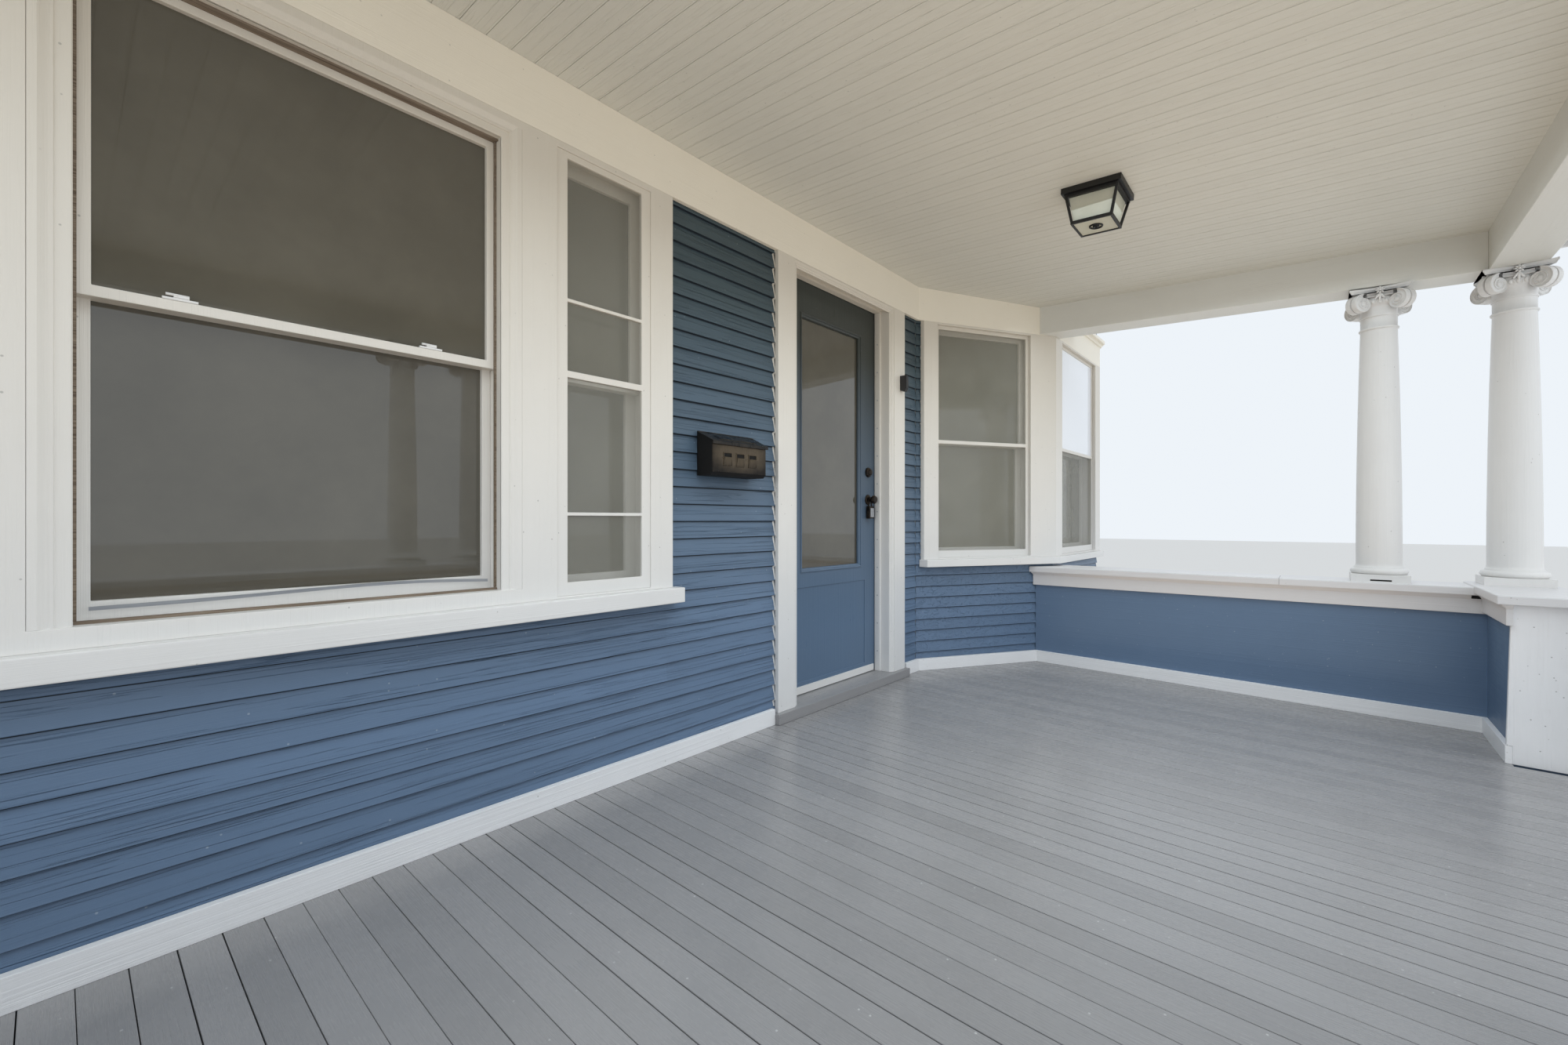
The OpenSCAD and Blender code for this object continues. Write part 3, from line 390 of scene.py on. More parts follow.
dots = product(painted, fade(painted, grit_dots["Distance"], 0.07, 0.12, 1.0, 0.0),
               fade(painted, dot_pick, 0.86, 0.88))
dots = product(painted, dots, given["Specks"])
uneven = sum_of(painted, centred(painted, broad), centred(painted, cloud), 0.5)
uneven = sum_of(painted, uneven, given["Tone"])
bright = sum_of(painted, 1.0, uneven, given["Mottle"])
tinted = add_node(painted, "ShaderNodeVectorMath", {0: given["Colour"], "Scale": bright}, operation="SCALE")
gloss = sum_of(painted, given["Sheen"], centred(painted, brush), 0.12)
lift = product(painted, brush, given["Brush"])
height = sum_of(painted, lift, sum_of(painted, flakes, small_flakes, 0.6), given["Flakes"])
add_node(painted, "NodeGroupOutput", {"Colour": mix_colour(painted, dots, tinted.outputs[0], given["Dirt"]),
                                      "Roughness": sum_of(painted, gloss, centred(painted, cloud), 0.10),
                                      "Height": sum_of(painted, height, cloud, 0.3)})

grain_x, grain_y, grain_z = (3.0, 260.0, 260.0), (260.0, 3.0, 260.0), (260.0, 260.0, 3.0)
# Heights for painted shade under the porch roof: the colour fades towards a darker one from
# painted_shade_starts to painted_shade_full, then back out between above_ceiling and in_the_open.
painted_shade_starts, painted_shade_full = 1.05, 2.70
above_ceiling, in_the_open = 3.03, 3.12


def paint(name, colour, stretch, dirt=(0.20, 0.19, 0.17, 1), brush=0.5, flakes=0.25, specks=0.5,
          mottle=0.03, sheen=0.38, relief=0.0008, tone=False, painted_shade_colour=None):
    material, tree = new_material(name)
    coat_colour = colour + (1,)
    # Painted shade: under the porch ceiling the paint colour darkens towards painted_shade_colour as it goes
    # up.
    if painted_shade_colour:
        level = add_node(tree, "ShaderNodeSeparateXYZ", {0: place_of(tree)}).outputs[2]
        painted_shade_mask = product(tree, fade(tree, level, painted_shade_starts, painted_shade_full),
                             fade(tree, level, above_ceiling, in_the_open, 1.0, 0.0))
        coat_colour = mix_colour(tree, painted_shade_mask, coat_colour, painted_shade_colour + (1,))
    feeds = {"Colour": coat_colour, "Dirt": dirt, "Stretch": stretch, "Brush": brush,
             "Flakes": flakes, "Specks": specks, "Mottle": mottle, "Sheen": sheen}
    if tone:
        feeds["Tone"] = add_node(tree, "ShaderNodeAttribute", attribute_name="tone").outputs["Fac"]
    coat = tree.nodes.new("ShaderNodeGroup")
    coat.node_tree = painted
    for socket, feed in feeds.items():
        if isinstance(feed, bpy.types.NodeSocket):
            tree.links.new(feed, coat.inputs[socket])
        else:
            coat.inputs[socket].default_value = feed
    close_material(tree, *coat.outputs, relief)
    return material


# siding_painted_shade is the darker, greener blue of the upper wall under the porch ceiling: painted shade.
siding_colour, siding_painted_shade = (0.122, 0.188, 0.292), (0.050, 0.078, 0.092)
siding_paint = paint("siding_paint", siding_colour, grain_x, (0.5, 0.55, 0.6, 1), 0.22, 1.0, 0.35,
                     0.045, 0.43, 0.0022, tone=True, painted_shade_colour=siding_painted_shade)
# painted_lap_shadow is a near-black blue for the undersides of the butts and the top of each board beneath
# them: painted shadow in the laps.
painted_lap_shadow = paint("painted_lap_shadow", (0.016, 0.024, 0.034), grain_x, (0.02, 0.03, 0.04, 1), 0.3, 0.2, 0.0, 0.3,
                  0.7)
plaster = cloudy_material("inner_plaster", (3.0, 6.0, 0.6), [(0.60, 0.57, 0.51), (0.72, 0.69, 0.63)],
                          0.9, 0.004)

rows = bpy.data.node_groups.new("rows_of_boards", "GeometryNodeTree")
for label, kind in (("Board", "Geometry"), ("Count", "Int"), ("Step", "Vector"), ("Smallest", "Vector"),
                    ("Largest", "Vector"), ("Waver", "Float"), ("Waver scale", "Float"), ("Seed", "Int"),
                    ("Finish", "Material")):
    rows.interface.new_socket(name=label, in_out="INPUT", socket_type="NodeSocket" + kind)
rows.interface.new_socket(name="Boards", in_out="OUTPUT", socket_type="NodeSocketGeometry")
start = rows.nodes.new("NodeGroupInput").outputs
line = add_node(rows, "GeometryNodeMeshLine", {"Count": start["Count"], "Offset": start["Step"]})
size = add_node(rows, "FunctionNodeRandomValue",
                {0: start["Smallest"], 1: start["Largest"], "Seed": start["Seed"]}, data_type="FLOAT_VECTOR")
boards = add_node(rows, "GeometryNodeInstanceOnPoints",
                  {"Points": line.outputs[0], "Instance": start["Board"], "Scale": size.outputs[0]})
tone = add_node(rows, "FunctionNodeRandomValue", {2: -1.0, 3: 1.0, "Seed": start["Seed"]},
                data_type="FLOAT")
toned = add_node(rows, "GeometryNodeStoreNamedAttribute",
                 {"Geometry": boards.outputs[0], "Name": "tone", "Value": tone.outputs[1]},
                 data_type="FLOAT", domain="INSTANCE")
real = add_node(rows, "GeometryNodeRealizeInstances", {"Geometry": toned.outputs[0]})
sway = add_node(rows, "ShaderNodeTexNoise", {"Scale": start["Waver scale"], "Detail": 1.0})
sway = add_node(rows, "ShaderNodeVectorMath", {0: sway.outputs["Color"], 1: (0.5, 0.5, 0.5)},
                operation="SUBTRACT")
sway = add_node(rows, "ShaderNodeVectorMath", {0: sway.outputs[0], "Scale": start["Waver"]},
                operation="SCALE")
moved = add_node(rows, "GeometryNodeSetPosition", {"Geometry": real.outputs[0], "Offset": sway.outputs[0]})
done = add_node(rows, "GeometryNodeSetMaterial", {"Geometry": moved.outputs[0], "Material": start["Finish"]})
add_node(rows, "NodeGroupOutput", {0: done.outputs[0]})


def grow(seed_shape, count, step, smallest, largest, waver, waver_scale, seed, finish):
    mesh = bpy.data.meshes.new("one_board")
    seed_shape.to_mesh(mesh)
    seed_shape.free()
    maker = bpy.data.objects.new("board_maker", mesh)
    scene.collection.objects.link(maker)
    modifier = maker.modifiers.new("rows", "NODES")
    modifier.node_group = rows
    values = [count, step, smallest, largest, waver, waver_scale, seed, finish]
    inputs = [item for item in rows.interface.items_tree if item.in_out == "INPUT"]
    for item, value in zip(inputs[1:], values):
        modifier[item.identifier] = value
    graph = bpy.context.evaluated_depsgraph_get()
    grown = bpy.data.meshes.new_from_object(maker.evaluated_get(graph), preserve_all_data_layers=True,
                                            depsgraph=graph)
    maker.modifiers.clear()
    bpy.data.objects.remove(maker)
    grown.materials.clear()
    return grown


course, butt = 0.0745, 0.012
wall_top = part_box("house_wall_left")[1].z


def trim(part, spot, outward):
    cut = bmesh.ops.bisect_plane(part, geom=part.verts[:] + part.edges[:] + part.faces[:], plane_co=spot,
                                 plane_no=outward, clear_outer=True)
    rim = [g for g in cut["geom_cut"] if isinstance(g, bmesh.types.BMEdge)]
    bmesh.ops.edgeloop_fill(part, edges=rim)


def absorb(shape, part):
    mesh = bpy.data.meshes.new("part")
    part.to_mesh(mesh)
    part.free()
    shape.from_mesh(mesh)
    bpy.data.meshes.remove(mesh)


def clapboards(shape, x0, x1, z0, z1, place, seed):
    first = math.floor((z0 - foundation_top) / course)
    count = math.ceil((z1 - foundation_top) / course) - first
    outline = [(butt, 0.003), (butt, course + 0.008), (0.0112, course + 0.008), (0.0108, course - 0.0042),
               (0.0006, 0.005), (0.0, 0.0026), (0.0008, 0.0006), (0.0026, 0.0), (0.0060, 0.0012)]
    one = bmesh.new()
    add_prism(one, outline, "x", x0, x1, max(0, int((x1 - x0) / 0.11)))
    part = bmesh.new()
    part.from_mesh(grow(one, count, (0, 0, course), (1, 0.97, 1), (1, 1.0, 1.004), 0.0016, 4.0, seed,
                        siding_paint))
    for vertex in part.verts:
        vertex.co.z += foundation_top + first * course
        vertex.co.y = max(vertex.co.y, 0.0)
    trim(part, (0, 0, z0), (0, 0, -1))
    trim(part, (0, 0, z1), (0, 0, 1))
    part.normal_update()
    # Butt undersides and the strip of each board tucked under the butt above take the near-black third
    # material: painted shadow in the laps.
    for face in part.faces:
        spot = face.calc_center_median()
        beneath = face.normal.z < -0.3 and spot.y > 0.001
        if beneath or (spot.y > 0.0100 and face.normal.y < -0.5):
            face.material_index = 2
    part.transform(place)
    absorb(shape, part)


def wall_piece(name, node, panels, seed):
    shape = bmesh.new()
    for number, (x0, x1, z0, z1, place) in enumerate(panels):
        clapboards(shape, x0, x1, z0, z1, place, seed + number)
    core = cad_copy(node)
    core.normal_update()
    faces_out = [(Vector((0, -1, 0)), Vector((0, 0, 0)))]
    for start, end in zip(bay_plan, bay_plan[1:]):
        run = Vector((end[0] - start[0], end[1] - start[1], 0)).normalized()
        faces_out.append((Vector((run.y, -run.x, 0)), Vector((start[0], start[1], 0))))
    shifts = {}
    for face in core.faces:
        for outward, spot in faces_out:
            if face.normal.dot(outward) > 0.999 and abs((face.verts[0].co - spot).dot(outward)) < 0.002:
                for vertex in face.verts:
                    shifts[vertex] = outward
    for vertex, outward in shifts.items():
        vertex.co -= outward * butt
    for face in core.faces:
        face.material_index = 1
        if any((face.calc_center_median() - spot).dot(outward) > -butt - 0.01
               and face.normal.dot(outward) > 0.9 for outward, spot in faces_out):
            face.material_index = 0
    for vertex in shape.verts:
        vertex.co.x = clamp(vertex.co.x, wall_x0, wall_x1)
    absorb(shape, core)
    make_piece(name, shape, [siding_paint, plaster, painted_lap_shadow], "siding_blue", [node])


straight = Matrix.Identity(4)
wall_x0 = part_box("house_wall_left")[0].x
wall_x1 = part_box("house_wall_right")[1].x
casing_left, casing_right = -2.20, 0.08
door_left, door_right = 0.884, 1.896
below_sill, behind_frieze = 1.37, 3.05
wall_piece("left_wall_boards", "house_wall_left",
           [(wall_x0, casing_left, foundation_top, wall_top, straight),
            (casing_left, casing_right, foundation_top, below_sill, straight),
            (casing_right, door_left, foundation_top, behind_frieze, straight),
            (casing_left, door_left, behind_frieze, wall_top, straight)], 11)
wall_piece("door_wall_boards", "house_wall_at_door",
           [(door_left, door_right, behind_frieze, wall_top, straight)], 21)
wall_piece("right_wall_boards", "house_wall_right",
           [(door_right, bay_plan[0][0], foundation_top, wall_top, straight),
            (bay_plan[3][0], wall_x1, foundation_top, wall_top, straight)], 31)
bay_low, bay_high, corner_strip = 1.39, 3.02, 0.060
for number, side in enumerate(("near", "front", "far")):
    place, length = on_line(bay_plan[number], bay_plan[number + 1])
    panels = [(0.0, length, foundation_top, bay_low, place), (0.0, length, bay_high, wall_top, place)]
    if side == "near":
        panels.append((0.0, corner_strip, bay_low, bay_high, place))
    if side == "far":
        panels.append((length - corner_strip, length, bay_low, bay_high, place))
    wall_piece("bay_" + side + "_boards", "bay_wall_" + side, panels, 41 + 7 * number)


# White boards on the walls and round the windows: pine boards with softened edges, thick with
# old satin paint that shows brush marks, and ragged caulk where the clapboards meet them.
white = (0.745, 0.735, 0.72)
white_x = paint("white_paint_level", white, grain_x)
white_z = paint("white_paint_upright", white, grain_z)
# casing_z turns a darker cream up the wall under the porch ceiling: painted shade, and painted warm light
# bounced up from below.
casing_z = paint("casing_paint", (0.74, 0.735, 0.73), grain_z, painted_shade_colour=(0.68, 0.63, 0.545))
# frieze_x is a brighter cream than the other white paint: painted warm light bounced up onto the frieze.
frieze_x = paint("frieze_paint", (0.86, 0.80, 0.68), grain_x, specks=0.3, sheen=0.42)
# The skirtings and tapered end boards get a brighter white than the other trim: painted light where daylight
# falls straight on them.
painted_light_white = (0.86, 0.86, 0.87)
painted_light_white_x = paint("skirting_paint", painted_light_white, grain_x, brush=0.9, flakes=0.3, sheen=0.36)
painted_light_white_y = paint("skirting_paint_deep", painted_light_white, grain_y, brush=0.9, flakes=0.3, sheen=0.36)
painted_light_white_z = paint("end_board_paint", painted_light_white, grain_z, brush=0.9, flakes=0.4, specks=0.6, sheen=0.36)


def caulk_bead(shape, x, side, z0, place, rng):
    z, rings, bead_step = z0, [], 0.011
    while z < frieze_z + bead_step:
        level = min(z, frieze_z)
        lap = ((level - foundation_top) % course) / course
        wide = 0.0028 + 0.0105 * lap ** 1.4 + rng.uniform(-0.0012, 0.0026)
        face = 0.0005 + 0.0095 * lap
        section = [(0.0, 0.006), (0.0, -0.0028), (wide * 0.6, -0.0022), (wide, 0.006)]
        rings.append([shape.verts.new(place @ Vector((x + side * out, face + deep, level)))
                      for out, deep in section])
        z += bead_step
    bridge(shape, rings)


rng = random.Random(8)
shape = bmesh.new()
frieze_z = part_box("front_window_frame")[1].z
sill_line, floor_line, bay_casing = 1.40, 0.745, 0.047
for frame_node, lowest in (("front_window_frame", sill_line), ("door_frame", floor_line)):
    low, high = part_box(frame_node)
    caulk_bead(shape, low.x, -1, lowest, straight, rng)
    caulk_bead(shape, high.x, 1, lowest, straight, rng)
caulk_bead(shape, bay_casing, -1, sill_line, on_line(bay_plan[0], bay_plan[1])[0], rng)
make_piece("caulk_at_casings", shape, [casing_z], "trim_white")
cad_piece("frieze_boards", "wall_frieze", 0.0015, frieze_x)
cad_piece("wall_skirting_boards", "wall_skirting", 0.002, painted_light_white_x)
cad_piece("wall_sills", "window_sills", 0.004, white_x)


# The wide window between two narrow ones: flat casings, a stepped staff moulding round the wide
# opening, and thin bare tracks where the sashes run.
def add_ring(shape, x0, x1, z0, z1, section, closed=True):
    loops = []
    for out, y in section:
        low = z0 - out if closed else z0
        corners = [(x0 - out, y, low), (x0 - out, y, z1 + out), (x1 + out, y, z1 + out), (x1 + out, y, low)]
        loops.append([shape.verts.new(corner) for corner in corners])
    bridge(shape, loops + loops[:1], closed, caps=False)
    if not closed:
        shape.faces.new([loop[0] for loop in loops])
        shape.faces.new([loop[3] for loop in loops])


window_mid = -1.093
wide_half, wide_low, wide_high = 0.470, 1.444, 2.950
left, right = window_mid - wide_half, window_mid + wide_half
shape = cad_copy("front_window_frame", 0.002)
add_ring(shape, left, right, wide_low, wide_high,
         [(0.0, 0.0), (0.0, -0.008), (0.002, -0.010), (0.026, -0.010), (0.028, -0.013), (0.034, -0.0135),
          (0.040, -0.016), (0.046, -0.0195), (0.050, -0.0215), (0.060, -0.0215), (0.0645, -0.0215),
          (0.0645, 0.0)], closed=False)
make_piece("front_window_casings", shape, [casing_z], "trim_white", ["front_window_frame"])
bare_wood = cloudy_material("weathered_wood", (1.0, 4.0, 0.6), [(0.10, 0.070, 0.048), (0.30, 0.24, 0.18)],
                            0.85, 0.0008, (6.0, 300.0, 300.0), (0.3, 0.7))
dull_metal = cloudy_material("dull_metal_strip", (1.0, 4.0, 0.6), [(0.30, 0.31, 0.33), (0.46, 0.47, 0.49)],
                             (0.3, 0.7, 0.3, 0.5), 0.0002, (4.0, 200.0, 200.0), Metallic=0.6)
shape = bmesh.new()
sash_y, side_z0, side_z1 = 0.0355, wide_low + 0.007, wide_high - 0.006
add_box(shape, left + 0.001, right - 0.001, 0.020, sash_y, wide_low, side_z0)
add_box(shape, left + 0.001, right - 0.001, 0.012, sash_y, side_z1, wide_high)
for x in (left, right - 0.006):
    add_box(shape, x, x + 0.006, 0.026, sash_y, side_z0, side_z1)
make_piece("bare_sash_tracks", shape, [bare_wood], "trim_white")
shape = bmesh.new()
rings = []
for step in range(25):
    t = step / 24
    x = left + 0.024 + t * 0.89
    z = wide_low + 0.028 + 0.010 * math.sin(math.pi * t) - 0.004 * math.sin(2 * math.pi * t)
    y = 0.0354 - 0.003 * math.sin(math.pi * t) ** 2
    rings.append([shape.verts.new(spot) for spot in
                  ((x, y, z), (x, y - 0.0010, z), (x, y - 0.0014, z + 0.009), (x, y, z + 0.009))])
bridge(shape, rings)
make_piece("loose_seal_strip", shape, [dull_metal], "dark_metal")
shape = bmesh.new()
meeting = (wide_low + wide_high) / 2 + 0.013
for x in (window_mid - 0.296, window_mid + 0.270):
    add_box(shape, x - 0.032, x + 0.032, 0.0345, 0.045, meeting, meeting + 0.006, ease=0.001)
    add_box(shape, x - 0.012, x + 0.016, 0.0350, 0.044, meeting + 0.006, meeting + 0.016, ease=0.002)
    add_box(shape, x - 0.026, x - 0.004, 0.0340, 0.040, meeting + 0.010, meeting + 0.016, ease=0.002)
make_piece("sash_latches", shape, [white_x], "trim_white")
cad_piece("bay_window_casings", "bay_window_frames", 0.002, casing_z)
cad_piece("sashes", "window_sashes", 0.002, casing_z)

# The panes are a dull, nearly opaque brown-black: painted shade of the dark rooms behind them, with a warm
# tint that is painted reflection.
pane_glass, tree = new_material("old_window_glass")
place = place_of(tree)
film = speckle(tree, place, 3.0, 5.0, 0.6)
drips = add_node(tree, "ShaderNodeTexVoronoi", {"Vector": stretched(tree, place, (9.0, 9.0, 1.6)),
                                                "Scale": 1.0}).outputs
pick = add_node(tree, "ShaderNodeSeparateColor", {"Color": drips["Color"]}).outputs[0]
mark = product(tree, fade(tree, drips["Distance"], 0.02, 0.035, 1.0, 0.0), fade(tree, pick, 0.78, 0.80))
dim = mix_colour(tree, fade(tree, film, 0.35, 0.75), (0.072, 0.065, 0.048, 1), (0.098, 0.088, 0.066, 1))
close_material(tree, mix_colour(tree, mark, dim, (0.55, 0.56, 0.56, 1)),
               fade(tree, film, 0.4, 0.8, 0.01, 0.06), IOR=1.85, Transmission_Weight=0.05)
shaded_glass = cloudy_material("glass_before_white_shade", (1.0, 2.0),
                               [(0.84, 0.86, 0.90), (0.91, 0.93, 0.97)], 0.08,
                               stretch=(500.0, 500.0, 60.0), IOR=1.5)
# The bay panes are a lighter warm grey-brown than the others: dust, and painted reflection of the lit
# ceiling.
bay_glass_dust_and_reflection = cloudy_material("bay_glass_dust_and_painted_reflection", (5.0, 5.0, 0.6),
                              [(0.125, 0.118, 0.085), (0.175, 0.165, 0.125)], (0.4, 0.8, 0.01, 0.05),
                              span=(0.35, 0.7), IOR=1.9)
# The storm panes are a see-through warm grey: a dust film, brightened as painted reflection.
storm_glass = cloudy_material("storm_glass", (4.0, 5.0, 0.6), [(0.31, 0.30, 0.25), (0.46, 0.45, 0.39)],
                              (0.4, 0.8, 0.01, 0.04), IOR=1.5, Alpha=0.22)


def depth_in_wall(spot):
    depth = spot.y if spot.x < bay_start else 1.0
    for start, end in zip(bay_plan, bay_plan[1:]):
        place, length = on_line(start, end)
        local = place.inverted() @ spot
        if 0 < local.x < length:
            depth = min(depth, abs(local.y))
    return depth


bay_start, storm_deep = bay_plan[0][0], 0.030
shape = cad_copy("window_glass")
half_sash = (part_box("bay_window_frames")[0].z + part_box("bay_window_frames")[1].z) / 2
for face in shape.faces:
    spot = face.calc_center_median()
    if bay_plan[1][0] < spot.x < bay_plan[2][0] and spot.z > half_sash:
        face.material_index = 1
    elif depth_in_wall(spot) < storm_deep:
        face.material_index = 3
    elif spot.x > bay_start:
        face.material_index = 2
make_piece("window_panes", shape, [pane_glass, shaded_glass, bay_glass_dust_and_reflection, storm_glass], "window_glass",
           ["window_glass"])
dress("door_glass", pane_glass)


# The doorway: casing, jambs and stops of painted pine round a blue-grey door with glass,
# over a worn grey sill board.
# The door paint darkens towards a greenish near-black up the leaf under the porch ceiling: painted shade.
teal_z = paint("door_paint_upright", (0.104, 0.164, 0.252), grain_z, (0.3, 0.33, 0.35, 1), 0.45, 0.15,
               0.2, 0.05, 0.36, painted_shade_colour=(0.040, 0.046, 0.041))
deck_colour = (0.285, 0.28, 0.285)
deck_x = paint("deck_paint_level", deck_colour, grain_x, (0.6, 0.6, 0.6, 1), 0.6, 0.2, 0.4, 0.05, 0.34)
opening_x0, opening_x1, opening_top, sill_top = 0.929, 1.851, 3.012, 0.713
shape = cad_copy("door_frame", 0.002)
add_ring(shape, opening_x0, opening_x1, sill_top, opening_top - 0.022,
         [(0.001, 0.0), (0.001, -0.005), (0.008, -0.0065), (0.010, -0.010), (0.018, -0.012), (0.020, -0.016),
          (0.031, -0.0185), (0.0335, -0.0185), (0.0335, 0.0)], closed=False)
make_piece("door_frame_boards", shape, [casing_z], "trim_white", ["door_frame"])
shape = bmesh.new()
screws = bmesh.new()
stop_thick, screw_pitch, first_screw = 0.012, 0.178, 0.84
for x, side in ((opening_x0 + stop_thick, 1), (opening_x1 - stop_thick, -1)):
    add_box(shape, x - 0.001 + side * 0.001, x + 0.001 + side * 0.001, 0.062, 0.086, 0.72,
            opening_top - 0.013)
    z = first_screw
    while z < opening_top - 0.1:
        turn = Matrix.Translation((x + side * 0.0018, 0.074, z)) @ Matrix.Rotation(math.pi / 2, 4, "Y")
        bmesh.ops.create_cone(screws, cap_ends=True, segments=10, radius1=0.0040, radius2=0.0030,
                              depth=0.0024, matrix=turn)
        z += screw_pitch
make_piece("jamb_seal_strips", shape, [casing_z], "trim_white")
make_piece("jamb_strip_screws", screws, [dull_metal], "dark_metal")
cad_piece("door_sill_board", "door_sill", 0.003, deck_x, "floor_grey")
pane_low, pane_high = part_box("door_glass")
leaf_front, leaf_back = 0.101, 0.145
shape = cad_copy("front_door", 0.0015)
for y, way in ((leaf_front, -1), (leaf_back, 1)):
    add_ring(shape, pane_low.x, pane_high.x, pane_low.z, pane_high.z,
             [(0.012, y - way * 0.001), (0.012, y + way * 0.003), (0.007, y + way * 0.0055),
              (0.002, y + way * 0.004), (0.0, y - way * 0.001), (-0.004, y - way * 0.003),
              (-0.009, y - way * 0.005), (-0.012, y - way * 0.010), (-0.012, y - way * 0.018),
              (0.0, y - way * 0.018)])
make_piece("door_leaf", shape, [teal_z], "door_teal", ["front_door"], body="door")
dress("door_sweep", white_x)
aged_bronze = cloudy_material("aged_bronze", (40.0, 5.0, 0.6), [(0.030, 0.024, 0.020), (0.10, 0.075, 0.055)],
                              (0.3, 0.7, 0.28, 0.5), 0.0004, span=(0.45, 0.7), Metallic=0.85)
cad_piece("knobs_bolts_and_hinges", "door_hardware", 0.0006, aged_bronze, "dark_metal", body="door",
          smooth_angle=40)
low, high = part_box("key_box")
shape = cad_copy("key_box", 0.0015)
add_box(shape, low.x + 0.007, high.x - 0.007, low.y - 0.004, low.y + 0.001, low.z + 0.008, low.z + 0.066,
        1, ease=0.002)
make_piece("hanging_key_box", shape, [aged_bronze, dull_metal], "dark_metal", ["key_box"], body="door")


# The letter box: a shallow sheet-metal box in rubbed bronze enamel with three pressed slots,
# and a darker sloping lid hinged at the wall that lies over it.
enamel, tree = new_material("bronze_enamel")
place = place_of(tree)
box_low, box_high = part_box("letter_box")
box_mid = (box_low.x + box_high.x) / 2
rub = speckle(tree, place, 25.0, 5.0, 0.6)
fine = speckle(tree, stretched(tree, place, (300.0, 300.0, 20.0)), 1.0, 3.0, 0.6)
away = add_node(tree, "ShaderNodeVectorMath", {0: place, 1: (box_mid, 0.0, box_low.z + 0.104)},
                operation="SUBTRACT")
away = stretched(tree, away.outputs[0], (5.4, 0.0, 12.5))
away = add_node(tree, "ShaderNodeVectorMath", {0: away}, operation="LENGTH").outputs["Value"]
# The plate is lighter bronze round a point just above the slots and falls to near-black towards its edges.
bright_middle = fade(tree, sum_of(tree, away, rub, 0.5), 0.85, 1.45, 1.0, 0.0)
bronze = mix_colour(tree, bright_middle, (0.008, 0.0065, 0.005, 1), (0.110, 0.084, 0.054, 1))
bronze = mix_colour(tree, fade(tree, fine, 0.35, 0.65, 0.0, 0.4), bronze, (0.045, 0.034, 0.025, 1))
close_material(tree, bronze, fade(tree, rub, 0.3, 0.7, 0.26, 0.40), fine, 0.0003, Metallic=0.6)
lid_enamel = cloudy_material("lid_enamel", (18.0, 5.0, 0.6), [(0.010, 0.009, 0.008), (0.044, 0.037, 0.030)],
                             (0.3, 0.7, 0.22, 0.4), 0.0004, span=(0.42, 0.7), Metallic=0.4)
# painted_shade_black is near-black and is laid where there is only shade: inside openings, in cracks, and on
# the letter box's sides and underside.
painted_shade_black = cloudy_material("painted_shade_black", (120.0, 2.0), [(0.003, 0.003, 0.003), (0.008, 0.007, 0.006)],
                             0.8)
lid_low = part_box("letter_box_lid")[0]
shape = cad_copy("letter_box", 0.0012)
slot_low, slot_high = box_low.z + 0.046, box_low.z + 0.098
slot_half, slot_pitch = 0.0228, 0.079
plate_y = box_low.y - 0.0008
root_y = plate_y + 0.0003
# The box's sides and underside take painted_shade_black: painted shade.
for face in shape.faces:
    if abs(face.normal.x) > 0.8 or face.normal.z < -0.5:
        face.material_index = 2
add_box(shape, box_low.x + 0.004, box_high.x - 0.004, plate_y, box_low.y + 0.0004, box_low.z + 0.016,
        lid_low.z - 0.0008)
for k in (-1, 0, 1):
    x = box_mid + slot_pitch * k
    x0, x1 = x - slot_half, x + slot_half
    add_ring(shape, x0, x1, slot_low, slot_high,
             [(0.0045, root_y), (0.0040, plate_y - 0.0020), (0.0008, plate_y - 0.0024), (0.0002, root_y)])
    # A near-black strip across the top of each slot: painted shade in the opening.
    add_box(shape, x0, x1, plate_y - 0.0004, root_y, slot_high - 0.016, slot_high, 2)
    flap = [(root_y, slot_low), (plate_y - 0.0008, slot_low), (plate_y - 0.0050, slot_high - 0.017),
            (plate_y - 0.0036, slot_high - 0.016), (root_y, slot_high - 0.0165)]
    add_prism(shape, flap, "x", x0 + 0.001, x1 - 0.001)
make_piece("letter_box_shell", shape, [enamel, lid_enamel, painted_shade_black], "letter_metal", ["letter_box"])
shape = cad_copy("letter_box_lid", 0.0008)
slope, mid_x, mid_y = 0.046 / 0.098, lid_low.x + 0.176, -0.059
rim = [(-0.116, -0.094), (-0.116, -0.040), (-0.071, -0.024), (0.071, -0.024), (0.116, -0.040),
       (0.116, -0.094)]
rings = []
for wide, deep, lift in ((1.0, 1.0, 0.0030), (0.93, 0.84, 0.0062)):
    flat = [(mid_x + x * wide, mid_y + (y - mid_y) * deep) for x, y in rim]
    rings.append([shape.verts.new((x, y, box_high.z + slope * y + lift)) for x, y in flat])
bridge(shape, rings)
make_piece("letter_box_hood", shape, [lid_enamel], "black_metal", ["letter_box_lid"], body="letter_lid")
black_resin = cloudy_material("black_resin", (900.0, 2.0), [(0.02, 0.02, 0.022)], (0.3, 0.7, 0.35, 0.5),
                              0.0002)
low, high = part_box("door_bell")
front, back = low.y, high.y
shape = bmesh.new()
add_prism(shape, [(back, low.z + 0.012), (back, high.z), (front + 0.004, high.z), (front, high.z - 0.004),
                  (front, low.z + 0.022), (front + 0.014, low.z)], "x", low.x, low.x + 0.026)
rib = [(back, low.z + 0.030), (back, high.z - 0.012), (front + 0.010, high.z - 0.012),
       (front + 0.008, low.z + 0.034), (front + 0.014, low.z + 0.028)]
for k in range(4):
    x = low.x + 0.0275 + 0.0046 * k
    add_prism(shape, rib, "x", x, x + 0.0028)
